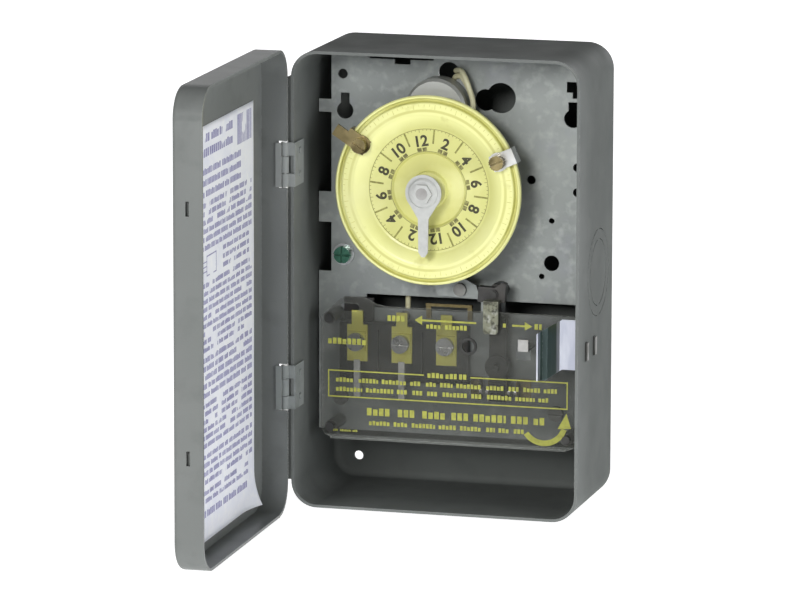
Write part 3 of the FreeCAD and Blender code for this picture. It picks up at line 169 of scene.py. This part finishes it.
class Shader:
    """A Principled material with short ways to add patterns in object coordinates."""

    def __init__(self, name, colour, roughness, metallic=0.0, **sockets):
        self.material = bpy.data.materials.new(name)
        self.material.use_nodes = True
        self.tree = self.material.node_tree
        self.surface = self.tree.nodes["Principled BSDF"]
        self.set(self.surface, "Base Color", (*colour, 1))
        self.set(self.surface, "Roughness", roughness)
        self.set(self.surface, "Metallic", metallic)
        for socket, value in sockets.items():
            self.set(self.surface, socket.replace("_", " "), value)
        self.place = self.tree.nodes.new("ShaderNodeTexCoord").outputs["Object"]

    def set(self, node, socket, value):
        node.inputs[socket].default_value = value

    def link(self, output, node, socket):
        self.tree.links.new(output, node.inputs[socket])

    def add(self, kind, **values):
        node = self.tree.nodes.new(kind)
        for key, value in values.items():
            setattr(node, key, value)
        return node

    def noise(self, scale, detail=4.0, stretch=(1, 1, 1)):
        """A value from 0 to 1; scale is in cycles per metre."""
        mapping = self.add("ShaderNodeMapping")
        self.set(mapping, "Scale", stretch)
        self.link(self.place, mapping, "Vector")
        texture = self.add("ShaderNodeTexNoise")
        self.set(texture, "Scale", scale)
        self.set(texture, "Detail", detail)
        self.link(mapping.outputs["Vector"], texture, "Vector")
        return texture.outputs["Fac"]

    def from_axis(self, centre, keep):
        """Distance from a point, or from an axis where a coordinate's share to keep is 0."""
        away = self.add("ShaderNodeVectorMath", operation="SUBTRACT")
        self.link(self.place, away, 0)
        self.set(away, 1, centre)
        flat = self.add("ShaderNodeVectorMath", operation="MULTIPLY")
        self.link(away.outputs["Vector"], flat, 0)
        self.set(flat, 1, keep)
        length = self.add("ShaderNodeVectorMath", operation="LENGTH")
        self.link(flat.outputs["Vector"], length, 0)
        return length.outputs["Value"]

    def along(self, axis):
        """The X, Y or Z coordinate."""
        parts = self.add("ShaderNodeSeparateXYZ")
        self.link(self.place, parts, "Vector")
        return parts.outputs[axis]

    def ramp(self, value, low, high, start=0.0, end=1.0):
        """Map a value from low..high to start..end, clamped."""
        node = self.add("ShaderNodeMapRange")
        for socket, number in (("From Min", low), ("From Max", high),
                               ("To Min", start), ("To Max", end)):
            self.set(node, socket, number)
        self.link(value, node, "Value")
        return node.outputs["Result"]

    def times(self, first, second):
        node = self.add("ShaderNodeMath", operation="MULTIPLY")
        self.link(first, node, 0)
        self.link(second, node, 1)
        return node.outputs["Value"]

    def band(self, value, start, full, fade, end, most=1.0):
        """0 up to start, most from full to fade, and 0 again from end."""
        return self.times(self.ramp(value, start, full, 0.0, most), self.ramp(value, end, fade))

    def blend_colour(self, amount, other):
        """Mix another colour over the present one by a 0 to 1 output."""
        mix = self.add("ShaderNodeMix", data_type="RGBA")
        # a colour mix's own sockets go by number, because other sockets share their names
        factor, first, second, result = 0, 6, 7, 2
        present = self.surface.inputs["Base Color"]
        if present.is_linked:
            self.link(present.links[0].from_socket, mix, first)
        else:
            self.set(mix, first, tuple(present.default_value))
        self.set(mix, second, (*other, 1))
        self.link(amount, mix, factor)
        self.link(mix.outputs[result], self.surface, "Base Color")
        return self

    def vary(self, other, scale, low=0.35, high=0.65, detail=4.0, stretch=(1, 1, 1)):
        return self.blend_colour(self.ramp(self.noise(scale, detail, stretch), low, high), other)

    def vary_roughness(self, low, high, scale, stretch=(1, 1, 1)):
        self.link(self.ramp(self.noise(scale, 3.0, stretch), 0.3, 0.7, low, high),
                  self.surface, "Roughness")
        return self

    def bump(self, scale, depth, detail=3.0, stretch=(1, 1, 1)):
        """Surface relief; depth in metres. Calls chain from broad to fine."""
        node = self.add("ShaderNodeBump")
        self.set(node, "Distance", depth)
        self.link(self.noise(scale, detail, stretch), node, "Height")
        normal = self.surface.inputs["Normal"]
        if normal.is_linked:
            self.link(normal.links[0].from_socket, node, "Normal")
        self.link(node.outputs["Normal"], self.surface, "Normal")
        return self

    def edges(self, width, other, strength=1.0):
        """A colour on convex and concave edges, where a rounded normal leaves the true one: wear on some
        materials, a painted highlight on others.
        """
        rounded = self.add("ShaderNodeBevel", samples=4)
        self.set(rounded, "Radius", width)
        true = self.add("ShaderNodeNewGeometry")
        dot = self.add("ShaderNodeVectorMath", operation="DOT_PRODUCT")
        self.link(rounded.outputs["Normal"], dot, 0)
        self.link(true.outputs["Normal"], dot, 1)
        mask = self.ramp(dot.outputs["Value"], 0.995, 0.85, 0.0, strength)
        patchy = self.ramp(self.noise(900, 3.0), 0.42, 0.62)
        return self.blend_colour(self.times(mask, patchy), other)


def stage_white():
    """White paper that glows, most of all round and behind the object, so that it stays white."""
    stage = Shader("studio_white", (0.86, 0.865, 0.87), 0.9, Emission_Color=(1, 1, 1, 1))
    stage.vary((0.84, 0.845, 0.85), 2.0)
    away = stage.from_axis((-0.21, 0.66, -0.1), (1.5, 1, 1.8))
    stage.link(stage.ramp(away, 1.5, 1.1, 0.5, 0.9), stage.surface, "Emission Strength")
    return stage.material


GREY, GREY_LIGHT, GREY_DARK = (0.170, 0.181, 0.176), (0.186, 0.197, 0.192), (0.150, 0.160, 0.155)
# the last colour on the next line is painted shade, laid deep in the case
CASE_DARK, CASE_PAINTED_SHADE = (0.148, 0.158, 0.153), (0.088, 0.096, 0.090)
RUBBED_GREY = (0.36, 0.37, 0.36)


def paint(name, colour, lighter, darker, gloss=0.0, roughness=(0.50, 0.64), shaded_back=False):
    """Flat enamel on sheet steel: faint orange peel, dust, and rubbed edges. On the case, the
    enamel gets painted shade that darkens away from its front rim, towards the back."""
    shader = Shader(name, colour, 0.55, Specular_IOR_Level=0.02, Coat_Weight=gloss,
                    Coat_Roughness=0.14)
    shader.vary(lighter, 22, 0.40, 0.66).vary(darker, 95, 0.52, 0.78)
    # painted shade: darker with depth from the case's front rim
    if shaded_back:
        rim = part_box("case_body")[0].y
        depth = shader.along("Y")
        shader.blend_colour(shader.ramp(depth, rim + 0.8 * MM, rim + 22 * MM, 0.1, 0.65), CASE_PAINTED_SHADE)
    shader.vary_roughness(*roughness, 60)
    shader.edges(0.35 * MM, RUBBED_GREY, 0.55)
    return shader.bump(1400, 0.035 * MM, 2.0).bump(160, 0.05 * MM, 1.0).material


def metal(name, colour, other, roughness, grain=0.0, edge=None):
    """Plain or plated metal with cloudy tarnish and, if asked, a drawn grain and worn edges."""
    shader = Shader(name, colour, roughness, 1.0)
    shader.vary(other, 120, 0.38, 0.68)
    shader.vary_roughness(roughness - 0.07, roughness + 0.1, 260)
    if edge:
        shader.edges(0.2 * MM, edge, 0.6)
    if grain:
        shader.bump(900, grain, 2.0)
    return shader.material


def zinc_plate():
    """Dull zinc plating with cloudy and bluish patches."""
    plate = Shader("zinc_plate", (0.30, 0.323, 0.314), 0.5, 0.4)
    plate.vary((0.24, 0.26, 0.255), 26, 0.36, 0.64).vary((0.37, 0.39, 0.38), 210, 0.5, 0.75)
    plate.vary((0.27, 0.283, 0.31), 60, 0.55, 0.8).vary_roughness(0.40, 0.60, 80)
    # painted highlight: lighter on the plate's edges
    return plate.edges(0.15 * MM, (0.6, 0.62, 0.6), 0.5).bump(700, 0.02 * MM).material


def green_plating():
    green = Shader("green_plating", (0.03, 0.12, 0.075), 0.35, 0.55)
    green.vary((0.06, 0.18, 0.12), 500).edges(0.25 * MM, (0.22, 0.36, 0.28), 0.7)
    return green.bump(1500, 0.02 * MM).material


def can_aluminium():
    can = Shader("satin_aluminium", (0.43, 0.44, 0.42), 0.45, 0.55)
    can.vary((0.42, 0.43, 0.41), 120, 0.38, 0.68).vary_roughness(0.38, 0.52, 260)
    # painted highlight: much lighter on the can's edges
    return can.edges(0.5 * MM, (0.85, 0.86, 0.84), 0.9).bump(900, 0.012 * MM, 2.0).material


def pointer_aluminium():
    pointer = Shader("pointer_aluminium", (0.50, 0.51, 0.495), 0.55, 0.1)
    pointer.vary((0.44, 0.45, 0.435), 300, 0.42, 0.7).edges(0.3 * MM, (0.45, 0.46, 0.44), 0.8)
    return pointer.bump(900, 0.012 * MM, 2.0).material


def worn_steel():
    """Steel strip with its plating rubbed off in patches."""
    worn = Shader("worn_steel", (0.19, 0.195, 0.14), 0.45, 0.4)
    worn.vary((0.32, 0.33, 0.29), 330, 0.54, 0.66).vary((0.05, 0.05, 0.035), 420, 0.50, 0.64)
    return worn.edges(0.2 * MM, (0.45, 0.46, 0.43), 0.8).bump(800, 0.03 * MM).material


def catch_strip():
    """Bright rolled strip, with painted shade and a painted dark reflection across its slanted sprung leaf."""
    shader = Shader("rolled_strip", (0.56, 0.58, 0.64), 0.32, 0.8)
    shader.vary((0.40, 0.42, 0.50), 120, 0.42, 0.62, stretch=(1, 1, 0.3))
    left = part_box("catch_leaf")[0].x
    # painted shade and dark reflection across the slanted leaf, placed by its x position
    painted_leaf_shade = shader.band(shader.along("X"), *(left + edge * MM for edge in (0.9, 1.3, 9.4, 10.4)))
    shader.blend_colour(painted_leaf_shade, (0.10, 0.14, 0.13))
    shader.edges(0.2 * MM, (0.85, 0.86, 0.9), 0.8)
    shader.vary_roughness(0.28, 0.42, 260, (1, 1, 0.1))
    return shader.bump(900, 0.02 * MM, 2.0, (1, 1, 0.05)).material


def terminal_brass():
    brass = Shader("terminal_brass", (0.95, 0.91, 0.18), 0.5, 0.05)
    brass.vary((0.75, 0.68, 0.11), 260, 0.48, 0.75).vary_roughness(0.32, 0.5, 300)
    return brass.edges(0.25 * MM, (0.9, 0.86, 0.5), 0.7).bump(900, 0.02 * MM, 2.0).material


def tinned_strip():
    tinned = Shader("tinned_strip", (0.95, 0.95, 0.92), 0.4, 0.1)
    return tinned.vary((0.75, 0.75, 0.72), 400).material


def bobbin_moulding():
    bobbin = Shader("bobbin_moulding", (0.03, 0.028, 0.026), 0.5)
    return bobbin.vary((0.05, 0.045, 0.04), 200).bump(2000, 0.01 * MM).material


def varnished_winding():
    """Varnished copper wire, with the ridges of its turns."""
    winding = Shader("varnished_winding", (0.30, 0.08, 0.02), 0.3)
    winding.vary((0.42, 0.14, 0.04), 400)
    return winding.bump(3000, 0.05 * MM, 1.0, (0.1, 1, 0.1)).material


def phenolic():
    shader = Shader("phenolic", (0.022, 0.021, 0.020), 0.42)
    shader.vary((0.045, 0.042, 0.038), 160, 0.42, 0.7).edges(0.2 * MM, (0.09, 0.085, 0.08), 0.6)
    return shader.bump(1800, 0.02 * MM).material


def lead_jacket():
    jacket = Shader("cream_jacket", (0.62, 0.60, 0.40), 0.5)
    return jacket.vary((0.50, 0.46, 0.28), 260, 0.45, 0.7).bump(900, 0.03 * MM).material


def dial_enamel():
    """Pale yellow enamel on turned metal, in rings: a painted sheen on the raised ring, painted shade in the
    groove and the dished middle, and a darker fine line on the ring.
    """
    shader = Shader("dial_enamel", (0.61, 0.61, 0.21), 0.36, Coat_Weight=0.2,
                    Coat_Roughness=0.25)
    across, rise = dial_axis()
    radius = shader.from_axis((across, 0, rise), (1, 0, 1))
    # painted sheen: paler on the raised ring and the slope up to it
    shader.blend_colour(shader.ramp(radius, 26.6 * MM, 31.0 * MM), (0.79, 0.795, 0.33))
    # painted shade: darker in the groove near the rim and in the dished middle; darker too in a fine line on the
    # ring
    groove = shader.band(radius, 36.9 * MM, 37.4 * MM, 38.6 * MM, 39.2 * MM)
    shader.blend_colour(groove, (0.56, 0.55, 0.16))
    line = shader.band(radius, 32.9 * MM, 33.4 * MM, 34.0 * MM, 34.5 * MM, 0.8)
    shader.blend_colour(line, (0.58, 0.57, 0.17))
    shader.blend_colour(shader.ramp(radius, 16.2 * MM, 15.4 * MM, 0.0, 0.8), (0.60, 0.59, 0.19))
    shader.vary((0.78, 0.78, 0.36), 40, 0.48, 0.78).vary((0.60, 0.58, 0.20), 170, 0.62, 0.85)
    shader.edges(0.25 * MM, (0.58, 0.55, 0.18), 0.5)
    shader.vary_roughness(0.28, 0.42, 140)
    return shader.bump(1100, 0.018 * MM, 2.0).material


def smoked_sheet():
    """Dark insulating film through which some of what lies behind shows, with a painted highlight along its lower
    lip and on its edges.
    """
    shader = Shader("smoked_film", (0.062, 0.065, 0.057), 0.36, Alpha=0.33, IOR=1.45,
                    Specular_IOR_Level=0.3)
    shader.vary((0.100, 0.103, 0.093), 45, 0.4, 0.65).vary_roughness(0.30, 0.46, 90)
    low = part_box("insulator_shield")[0].z
    # painted highlight: paler along the lower lip, which faces up towards the light
    painted_lip_highlight = shader.ramp(shader.along("Z"), low + 1.6 * MM, low + 1.0 * MM)
    shader.blend_colour(painted_lip_highlight, (0.30, 0.315, 0.295))
    # painted highlight on the film's edges
    shader.edges(0.5 * MM, (0.70, 0.72, 0.68), 1.0)
    return shader.bump(500, 0.02 * MM).bump(60, 0.15 * MM, 1.0).material


def label_paper():
    shader = Shader("label_paper", (0.86, 0.875, 0.93), 0.7)
    shader.vary((0.79, 0.81, 0.90), 55, 0.42, 0.7).vary((0.90, 0.91, 0.93), 300, 0.5, 0.8)
    return shader.bump(1600, 0.015 * MM).bump(120, 0.06 * MM, 2.0).material


def ink(name, colour, other, roughness=0.5):
    """Printing ink, thinner in places."""
    shader = Shader(name, colour, roughness)
    return shader.vary(other, 700, 0.42, 0.68).bump(2500, 0.008 * MM).material


def make_materials():
    """One material for each of the record's slots, and more for single nodes."""
    return {
        "grey_paint": paint("grey_enamel", GREY, GREY_LIGHT, GREY_DARK),
        "door_paint": paint("door_enamel", GREY, GREY_LIGHT, GREY_DARK, gloss=0.35),
        "case_paint": paint("case_enamel", GREY, GREY_LIGHT, CASE_DARK, roughness=(0.46, 0.62),
                            shaded_back=True),
        "hinge_steel": paint("hinge_enamel", (0.24, 0.26, 0.255), (0.30, 0.315, 0.31),
                             (0.16, 0.17, 0.168)),
        "bright_steel": metal("zinc_bright", (0.62, 0.63, 0.62), (0.46, 0.46, 0.44), 0.30,
                              edge=(0.85, 0.85, 0.84)),
        "motor_steel": metal("plain_steel", (0.42, 0.42, 0.41), (0.28, 0.27, 0.26), 0.42),
        "dark_steel": metal("dull_steel", (0.22, 0.22, 0.21), (0.12, 0.12, 0.11), 0.45),
        "black_oxide": metal("black_oxide", (0.07, 0.07, 0.068), (0.035, 0.035, 0.033), 0.5),
        "rotor_magnet": metal("sintered_magnet", (0.11, 0.11, 0.115), (0.07, 0.07, 0.07), 0.55),
        "gear_brass": metal("machined_brass", (0.66, 0.50, 0.20), (0.50, 0.36, 0.13), 0.32,
                            edge=(0.9, 0.75, 0.4)),
        "dark_brass": metal("worn_brass", (0.30, 0.245, 0.12), (0.07, 0.055, 0.025), 0.40,
                            grain=0.02 * MM, edge=(0.85, 0.74, 0.5)),
        "silver": metal("contact_silver", (0.80, 0.80, 0.78), (0.6, 0.58, 0.55), 0.25),
        "plate_steel": zinc_plate(), "spring_steel": catch_strip(), "worn_steel": worn_steel(),
        "green_screw": green_plating(), "can_aluminium": can_aluminium(),
        "pointer_aluminium": pointer_aluminium(), "brass": terminal_brass(),
        "tinned_strip": tinned_strip(), "bobbin": bobbin_moulding(),
        "enamel_wire": varnished_winding(), "phenolic": phenolic(),
        "lead_jacket": lead_jacket(), "dial_yellow": dial_enamel(),
        "smoked_sheet": smoked_sheet(), "label_paper": label_paper()}


# Flat printed pieces

class Print:
    """Thin marks on a flat face, gathered in one mesh. to_space takes (u, v), in millimetres,
    to the row frame."""

    def __init__(self, to_space, normal, thick):
        self.shape = bmesh.new()
        self.to_space = to_space
        self.lift = Vector(normal) * thick

    def patch(self, corners):
        """A raised slab with this outline, given in order."""
        base = [self.to_space(u, v) for u, v in corners]
        low = [self.shape.verts.new(point) for point in base]
        high = [self.shape.verts.new(point + self.lift) for point in base]
        self.shape.faces.new(high)
        count = len(corners)
        for index in range(count):
            after = (index + 1) % count
            self.shape.faces.new((low[index], low[after], high[after], high[index]))

    def bar(self, left, right, low, high):
        self.patch([(left, low), (right, low), (right, high), (left, high)])

    def frame(self, left, right, low, high, line, gap=None):
        """A rectangle in lines; gap is the left and right end of a break in its top side."""
        self.bar(left, left + line, low, high)
        self.bar(right - line, right, low, high)
        self.bar(left + line, right - line, low, low + line)
        if gap:
            self.bar(left + line, gap[0], high - line, high)
            self.bar(gap[1], right - line, high - line, high)
        else:
            self.bar(left + line, right - line, high - line, high)

    def arrow(self, tip, neck, tail, rise, half):
        """A level arrow: a head from tip to neck, half as high each way, and a shaft to tail."""
        self.patch([(tip, rise), (neck, rise - half), (neck, rise + half)])
        self.bar(min(neck, tail), max(neck, tail), rise - 0.4, rise + 0.4)

    def spoke(self, angle, inner, outer, wide):
        """A radial line; the angle, in radians, runs clockwise from the top."""
        out = Vector((math.sin(angle), math.cos(angle)))
        side = Vector((out.y, -out.x)) * wide / 2
        self.patch([tuple(out * radius + side * sign) for radius, sign in (
            (inner, 1), (outer, 1), (outer, -1), (inner, -1))])

    def arc(self, centre, inner, outer, start, end, steps=24):
        """A curved band between two angles in degrees, anticlockwise from +u."""
        angles = [math.radians(start + (end - start) * step / steps) for step in range(steps + 1)]
        for first, second in zip(angles, angles[1:]):
            self.patch([(centre[0] + radius * math.cos(angle), centre[1] + radius * math.sin(angle))
                        for radius, angle in ((inner, first), (outer, first), (outer, second),
                                              (inner, second))])

    def words(self, left, right, low, high, mean, gap, faint=0.0):
        """A line of print with no letters: strokes grouped in words of random length, with
        gaps between them; faint is the share of words left out."""
        at = left
        while at < right - 0.4 * mean:
            end = min(at + mean * random.uniform(0.5, 1.6), right)
            if random.random() >= faint:
                self.letters(at, end, low, high)
            at = end + gap

    def letters(self, left, end, low, high):
        """A word as a few blocks, each a letter's width, some of them short."""
        tall = high - low
        width, pitch = tall * 0.62, tall * 0.62 * 1.32
        at = left
        while at + width * 0.5 < end:
            trim = random.choice((0.0, 0.0, 0.16))
            self.bar(at, min(at + width, end), low, high - trim * tall)
            at += pitch

    def finish(self, name, material, body):
        mesh = bpy.data.meshes.new(name)
        bmesh.ops.recalc_face_normals(self.shape, faces=self.shape.faces)
        self.shape.to_mesh(mesh)
        self.shape.free()
        mesh.materials.append(material)
        piece = add_object(name, mesh)
        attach(piece, body)
        return piece


# Shield print

SHIELD_THICK = 1.0 * MM

# lines of print on the shield: left, right, low, high, mean length of a word, gap
SHIELD_ROWS = (
    (-8.0, 9.2, -42.6, -40.4, 8.0, 1.0),      # the heading, in the frame's gap
    (-48.0, 48.0, -46.4, -44.5, 7.5, 1.6),    # two rows inside the frame
    (-48.0, 48.0, -50.4, -48.5, 7.5, 1.6),
    (-34.4, 43.0, -60.2, -57.0, 12.0, 2.2),   # a large and a small row under it
    (-33.5, 34.0, -64.4, -62.5, 7.0, 1.6),
    (-49.3, -38.3, -67.7, -66.8, 4.0, 0.7),   # a tiny one by the lower corner
    (-51.5, -34.0, -30.2, -27.6, 17.0, 1.0),  # across the first terminal
    (-25.5, -15.6, -19.2, -16.8, 5.0, 1.2),   # by the long arrow's tip, and under it
    (-8.6, 9.0, -21.6, -19.6, 6.0, 1.2),
    (24.6, 28.0, -19.4, -17.4, 3.0, 1.0),     # at both ends of the short arrow
    (38.2, 43.4, -19.6, -17.2, 5.0, 1.0))


def make_shield_print():
    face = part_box("insulator_shield")[1].y - SHIELD_THICK
    marks = Print(lambda u, v: Vector((u * MM, face, v * MM)), (0, -1, 0), 0.06 * MM)
    marks.frame(-51.5, 52.7, -53.0, -41.3, 0.55, gap=(-9.6, 10.6))
    for row in SHIELD_ROWS:
        marks.words(*row)
    marks.arrow(-13.6, -10.4, 13.0, -18.2, 2.0)
    marks.arrow(37.2, 34.0, 28.6, -18.4, 1.8)
    # curved arrow towards the lower corner
    marks.arc((42.4, -58.6), 8.0, 10.4, 215, 342)
    marks.patch([(48.4, -61.4), (54.2, -61.0), (52.2, -54.6)])
    yellow = ink("yellow_ink", (0.38, 0.39, 0.06), (0.27, 0.28, 0.045))
    marks.finish("shield_print", yellow, "case")


# Dial print

HOURS = (12, 10, 8, 6, 4, 2, 12, 10, 8, 6, 4, 2)   # anticlockwise from the top
DIAL_TURN = -9.7                # of the first 12 from the top, clockwise
QUARTERS = 96
BAND_DEPTH = 2.6 * MM           # how far the printed band lies behind the raised ring
BAND_LINE = 0.25
BAND_INNER, BAND_OUTER = 16.1, 25.55
NUMBER_RADIUS, NUMBER_HEIGHT = 20.5, 4.6
SIZE_PER_HEIGHT = 1.38          # a font's size over the height of its digits
HALF_RADIUS, HALF_SHIFT, HALF_WIDE, HALF_TALL = 17.15, 1.15, 1.9, 1.5


def dial_axis():
    low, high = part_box("dial_disc")
    return (low.x + high.x) / 2, (low.z + high.z) / 2


def dial_print(depth, thick):
    """Marks about the dial's axis on a face at this depth."""
    across, rise = dial_axis()
    return Print(lambda u, v: Vector((across + u * MM, depth, rise + v * MM)), (0, -1, 0), thick)


def quarter_angle(step):
    return math.radians(step * 360 / QUARTERS + DIAL_TURN)


def number_mesh(text):
    """A number as a flat mesh about its own centre, in millimetres."""
    curve = bpy.data.curves.new("number", "FONT")
    curve.body = text
    curve.size = NUMBER_HEIGHT * SIZE_PER_HEIGHT
    curve.align_x, curve.align_y = "CENTER", "CENTER"
    curve.offset = 0.2
    curve.resolution_u = 6
    holder = bpy.data.objects.new("number", curve)
    mesh = bpy.data.meshes.new_from_object(holder)
    bpy.data.objects.remove(holder)
    return mesh


def make_dial_lines(band):
    """Two circles with lines inside the outer one: long at the odd hours, which lie between
    the numbers, shorter at the even hours, and shortest at the quarters."""
    lines = dial_print(band, 0.05 * MM)
    for radius in (BAND_INNER, BAND_OUTER):
        lines.arc((0, 0), radius, radius + BAND_LINE, 0, 360, 120)
    for step in range(QUARTERS):
        long, middling = step % 8 == 4, step % 4 == 0
        inner = 19.6 if long else 24.3 if middling else 24.95
        lines.spoke(quarter_angle(step), inner, BAND_OUTER, 0.75 if long else 0.22)
    lines.finish("dial_lines", ink("olive_ink", (0.20, 0.195, 0.04), (0.34, 0.33, 0.08)), "dial")


def make_dial_ring(front):
    """Quarter-hour marks on the raised ring, which the trippers are set by."""
    ring = dial_print(front, 0.04 * MM)
    for step in range(QUARTERS):
        ring.spoke(quarter_angle(step), 34.4 if step % 4 == 0 else 35.5, 36.4, 0.18)
    ring.finish("dial_quarter_marks", ink("faint_ink", (0.52, 0.50, 0.14), (0.66, 0.64, 0.2)),
                "dial")


def make_dial_numbers(band):
    """The hours, and two blocks inside each that mark the half of the day."""
    numbers, halves = dial_print(band, 0.05 * MM), dial_print(band, 0.05 * MM)
    for index, hour in enumerate(HOURS):
        angle = math.radians(-360 / len(HOURS) * index + DIAL_TURN)
        out = Vector((math.sin(angle), math.cos(angle)))
        right = Vector((out.y, -out.x))
        mesh = number_mesh(str(hour))
        for polygon in mesh.polygons:
            corners = [mesh.vertices[corner].co for corner in polygon.vertices]
            numbers.patch([tuple(out * (NUMBER_RADIUS + point.y) + right * point.x)
                           for point in corners])
        for shift in (-HALF_SHIFT, HALF_SHIFT):
            middle = out * HALF_RADIUS + right * shift
            halves.patch([tuple(middle + right * u * HALF_WIDE / 2 + out * v * HALF_TALL / 2)
                          for u, v in ((-1, -1), (1, -1), (1, 1), (-1, 1))])
    numbers.finish("dial_numbers", ink("dark_ink", (0.03, 0.028, 0.008), (0.07, 0.065, 0.02)),
                   "dial")
    halves.finish("dial_half_marks", ink("brown_ink", (0.12, 0.11, 0.03), (0.30, 0.29, 0.09)),
                  "dial")


def make_dial_print():
    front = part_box("dial_disc")[0].y
    band = front + BAND_DEPTH
    make_dial_lines(band)
    make_dial_ring(front)
    make_dial_numbers(band)


# Door label, laid out as on the shut door and then swung open with it. Across, depth and rise
# are in millimetres from the hinge pin: to the right, towards the front, and up.

LABEL_LEFT, LABEL_RIGHT, LABEL_LOW, LABEL_HIGH = 14.7, 120.7, -93.5, 77.5
PAPER_FACE = 9.4                # depth of the label's printed face
CURL_REACH, CURL_LIFT = 15.0, 0.016
BOX_LINE = 0.5
UPRIGHTS_WIDE = 21

# blocks of print: top, rows, pitch, letter height, left, right, mean length of a word
NEAR, FAR = LABEL_LEFT + 3.5, LABEL_RIGHT - 4.0
LABEL_BLOCKS = (
    (74.0, 2, 6.0, 3.4, 46.0, FAR, 14.0), (60.0, 3, 4.6, 2.6, 34.0, FAR, 12.0),
    (46.0, 6, 3.5, 2.1, NEAR, FAR, 8.0), (24.5, 3, 3.6, 1.9, NEAR + 4, 62.0, 6.0),
    (13.0, 9, 3.3, 1.9, NEAR, FAR, 7.0), (-17.5, 5, 3.6, 2.2, NEAR, FAR, 8.0),
    (-36.5, 6, 3.3, 1.9, NEAR, FAR, 7.0), (-57.5, 4, 3.5, 2.0, NEAR, 96.0, 7.0),
    (-72.5, 2, 3.4, 1.9, NEAR + 6, FAR, 7.0))


def door_space():
    """A function from (across, depth, rise) of the shut door to the row frame."""
    hinge = joint("door_hinge")
    pin = Vector(hinge["pos_m"])
    turn = Matrix.Rotation(math.radians(-hinge["range_deg"][1]), 3, "Z")
    return lambda across, depth, rise: pin + turn @ Vector((across, -depth, rise)) * MM


def corner_lift(across, rise):
    """How far the paper stands off the door: a curl at the lower corner by the hinge."""
    from_corner = (across - LABEL_LEFT) * 0.8 + (rise - LABEL_LOW)
    return max(0.0, CURL_REACH - from_corner) ** 2 * CURL_LIFT


def make_label():
    """The paper, a fine grid that ripples a little, with closer columns near the hinge."""
    to_space = door_space()
    shape = bmesh.new()
    columns, rows = 44, 72
    grid = []
    for row in range(rows + 1):
        rise = LABEL_LOW + (LABEL_HIGH - LABEL_LOW) * row / rows
        line = []
        for column in range(columns + 1):
            across = LABEL_LEFT + (LABEL_RIGHT - LABEL_LEFT) * (column / columns) ** 1.3
            ripple = 0.05 * math.sin(across * 0.21 + rise * 0.07) * math.sin(rise * 0.11)
            depth = PAPER_FACE + 0.06 + ripple - corner_lift(across, rise)
            line.append(shape.verts.new(to_space(across, depth, rise)))
        grid.append(line)
    for low, high in zip(grid, grid[1:]):
        for index in range(columns):
            shape.faces.new((low[index], low[index + 1], high[index + 1], high[index]))
    bmesh.ops.recalc_face_normals(shape, faces=shape.faces)
    mesh = bpy.data.meshes.new("label_sheet")
    shape.to_mesh(mesh)
    shape.free()
    mesh.polygons.foreach_set("use_smooth", [True] * len(mesh.polygons))
    mesh.materials.append(materials["label_paper"])
    sheet = add_object("label_sheet", mesh)
    thick = sheet.modifiers.new("thickness", "SOLIDIFY")
    thick.thickness = 0.12 * MM
    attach(sheet, "door")
    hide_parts("door_label")
    make_label_print(to_space)


def make_label_print(to_space):
    normal = (to_space(0, -1, 0) - to_space(0, 0, 0)).normalized()
    marks = Print(lambda u, v: to_space(u, PAPER_FACE - 0.07, v), normal, 0.03 * MM)
    # a block of upright bars by the upper corner
    at = NEAR
    while at < NEAR + UPRIGHTS_WIDE:
        width = random.choice((0.5, 0.8, 1.3))
        marks.bar(at, at + width, 62.5, 75.0)
        at += width + random.choice((0.5, 0.9))
    for top, rows, pitch, tall, left, right, mean in LABEL_BLOCKS:
        for row in range(rows):
            high = top - row * pitch
            marks.words(left, right - random.uniform(0, 9), high - tall, high, mean, 1.3, 0.04)
    # one heavy line near the foot
    marks.words(26.0, FAR, -83.6, -80.8, 11.0, 1.6)
    # a wiring sketch: two boxes joined by three lines
    for left, right in ((70.0, 84.0), (96.0, 110.0)):
        marks.frame(left, right, 15.5, 24.0, BOX_LINE)
    for rise in (17.5, 19.5, 21.5):
        marks.bar(84.0, 96.0, rise, rise + 0.4)
    purple = ink("label_ink", (0.27, 0.265, 0.47), (0.38, 0.375, 0.57), 0.65)
    marks.finish("label_print", purple, "door")


# CAD nodes keep their shape and get their slot's material, or one of these

FINISHES = {
    "case_paint": ("case_body",),
    "door_paint": ("door_panel",),
    "bright_steel": ("off_tripper", "terminal_screws"),
    "motor_steel": ("shield_hook",),
    "dark_steel": ("plate_screws", "shield_posts", "bracket_rivet", "catch_base"),
    "black_oxide": ("lever_stud", "carrier_stud", "lever_retainer", "shield_rivets",
                    "shield_grommet"),
    "worn_steel": ("hand_lever",),
    "pointer_aluminium": ("pointer_hand", "pointer_washer", "pointer_nut"),
    "dark_brass": ("bus_bar", "fixed_blades", "moving_blades", "on_tripper",
                   "on_tripper_screw", "off_tripper_screw"),
    "tinned_strip": ("terminal_links",)}


def dress_nodes():
    special = {name: finish for finish, names in FINISHES.items() for name in names}
    for part in frame["record"]["subparts"]:
        name = part["node"]
        for slot in nodes[name].material_slots:
            slot.link = "OBJECT"
            slot.material = materials[special.get(name, part["material_slot"])]


def make_spring():
    """The coil between the dial and the pointer's hub, as a fixed copy on the case; the real coil shortens as the
    dial is pulled.
    """
    coil = add_object("dial_coil", nodes["dial_spring"].data.copy())
    coil.data.materials.clear()
    coil.data.materials.append(materials["bright_steel"])
    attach(coil, "case")
    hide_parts("dial_spring")
    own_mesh(coil)


materials = make_materials()
make_camera()
make_lights()
make_stage()
dress_nodes()
make_shield_print()
make_dial_print()
make_label()
make_spring()
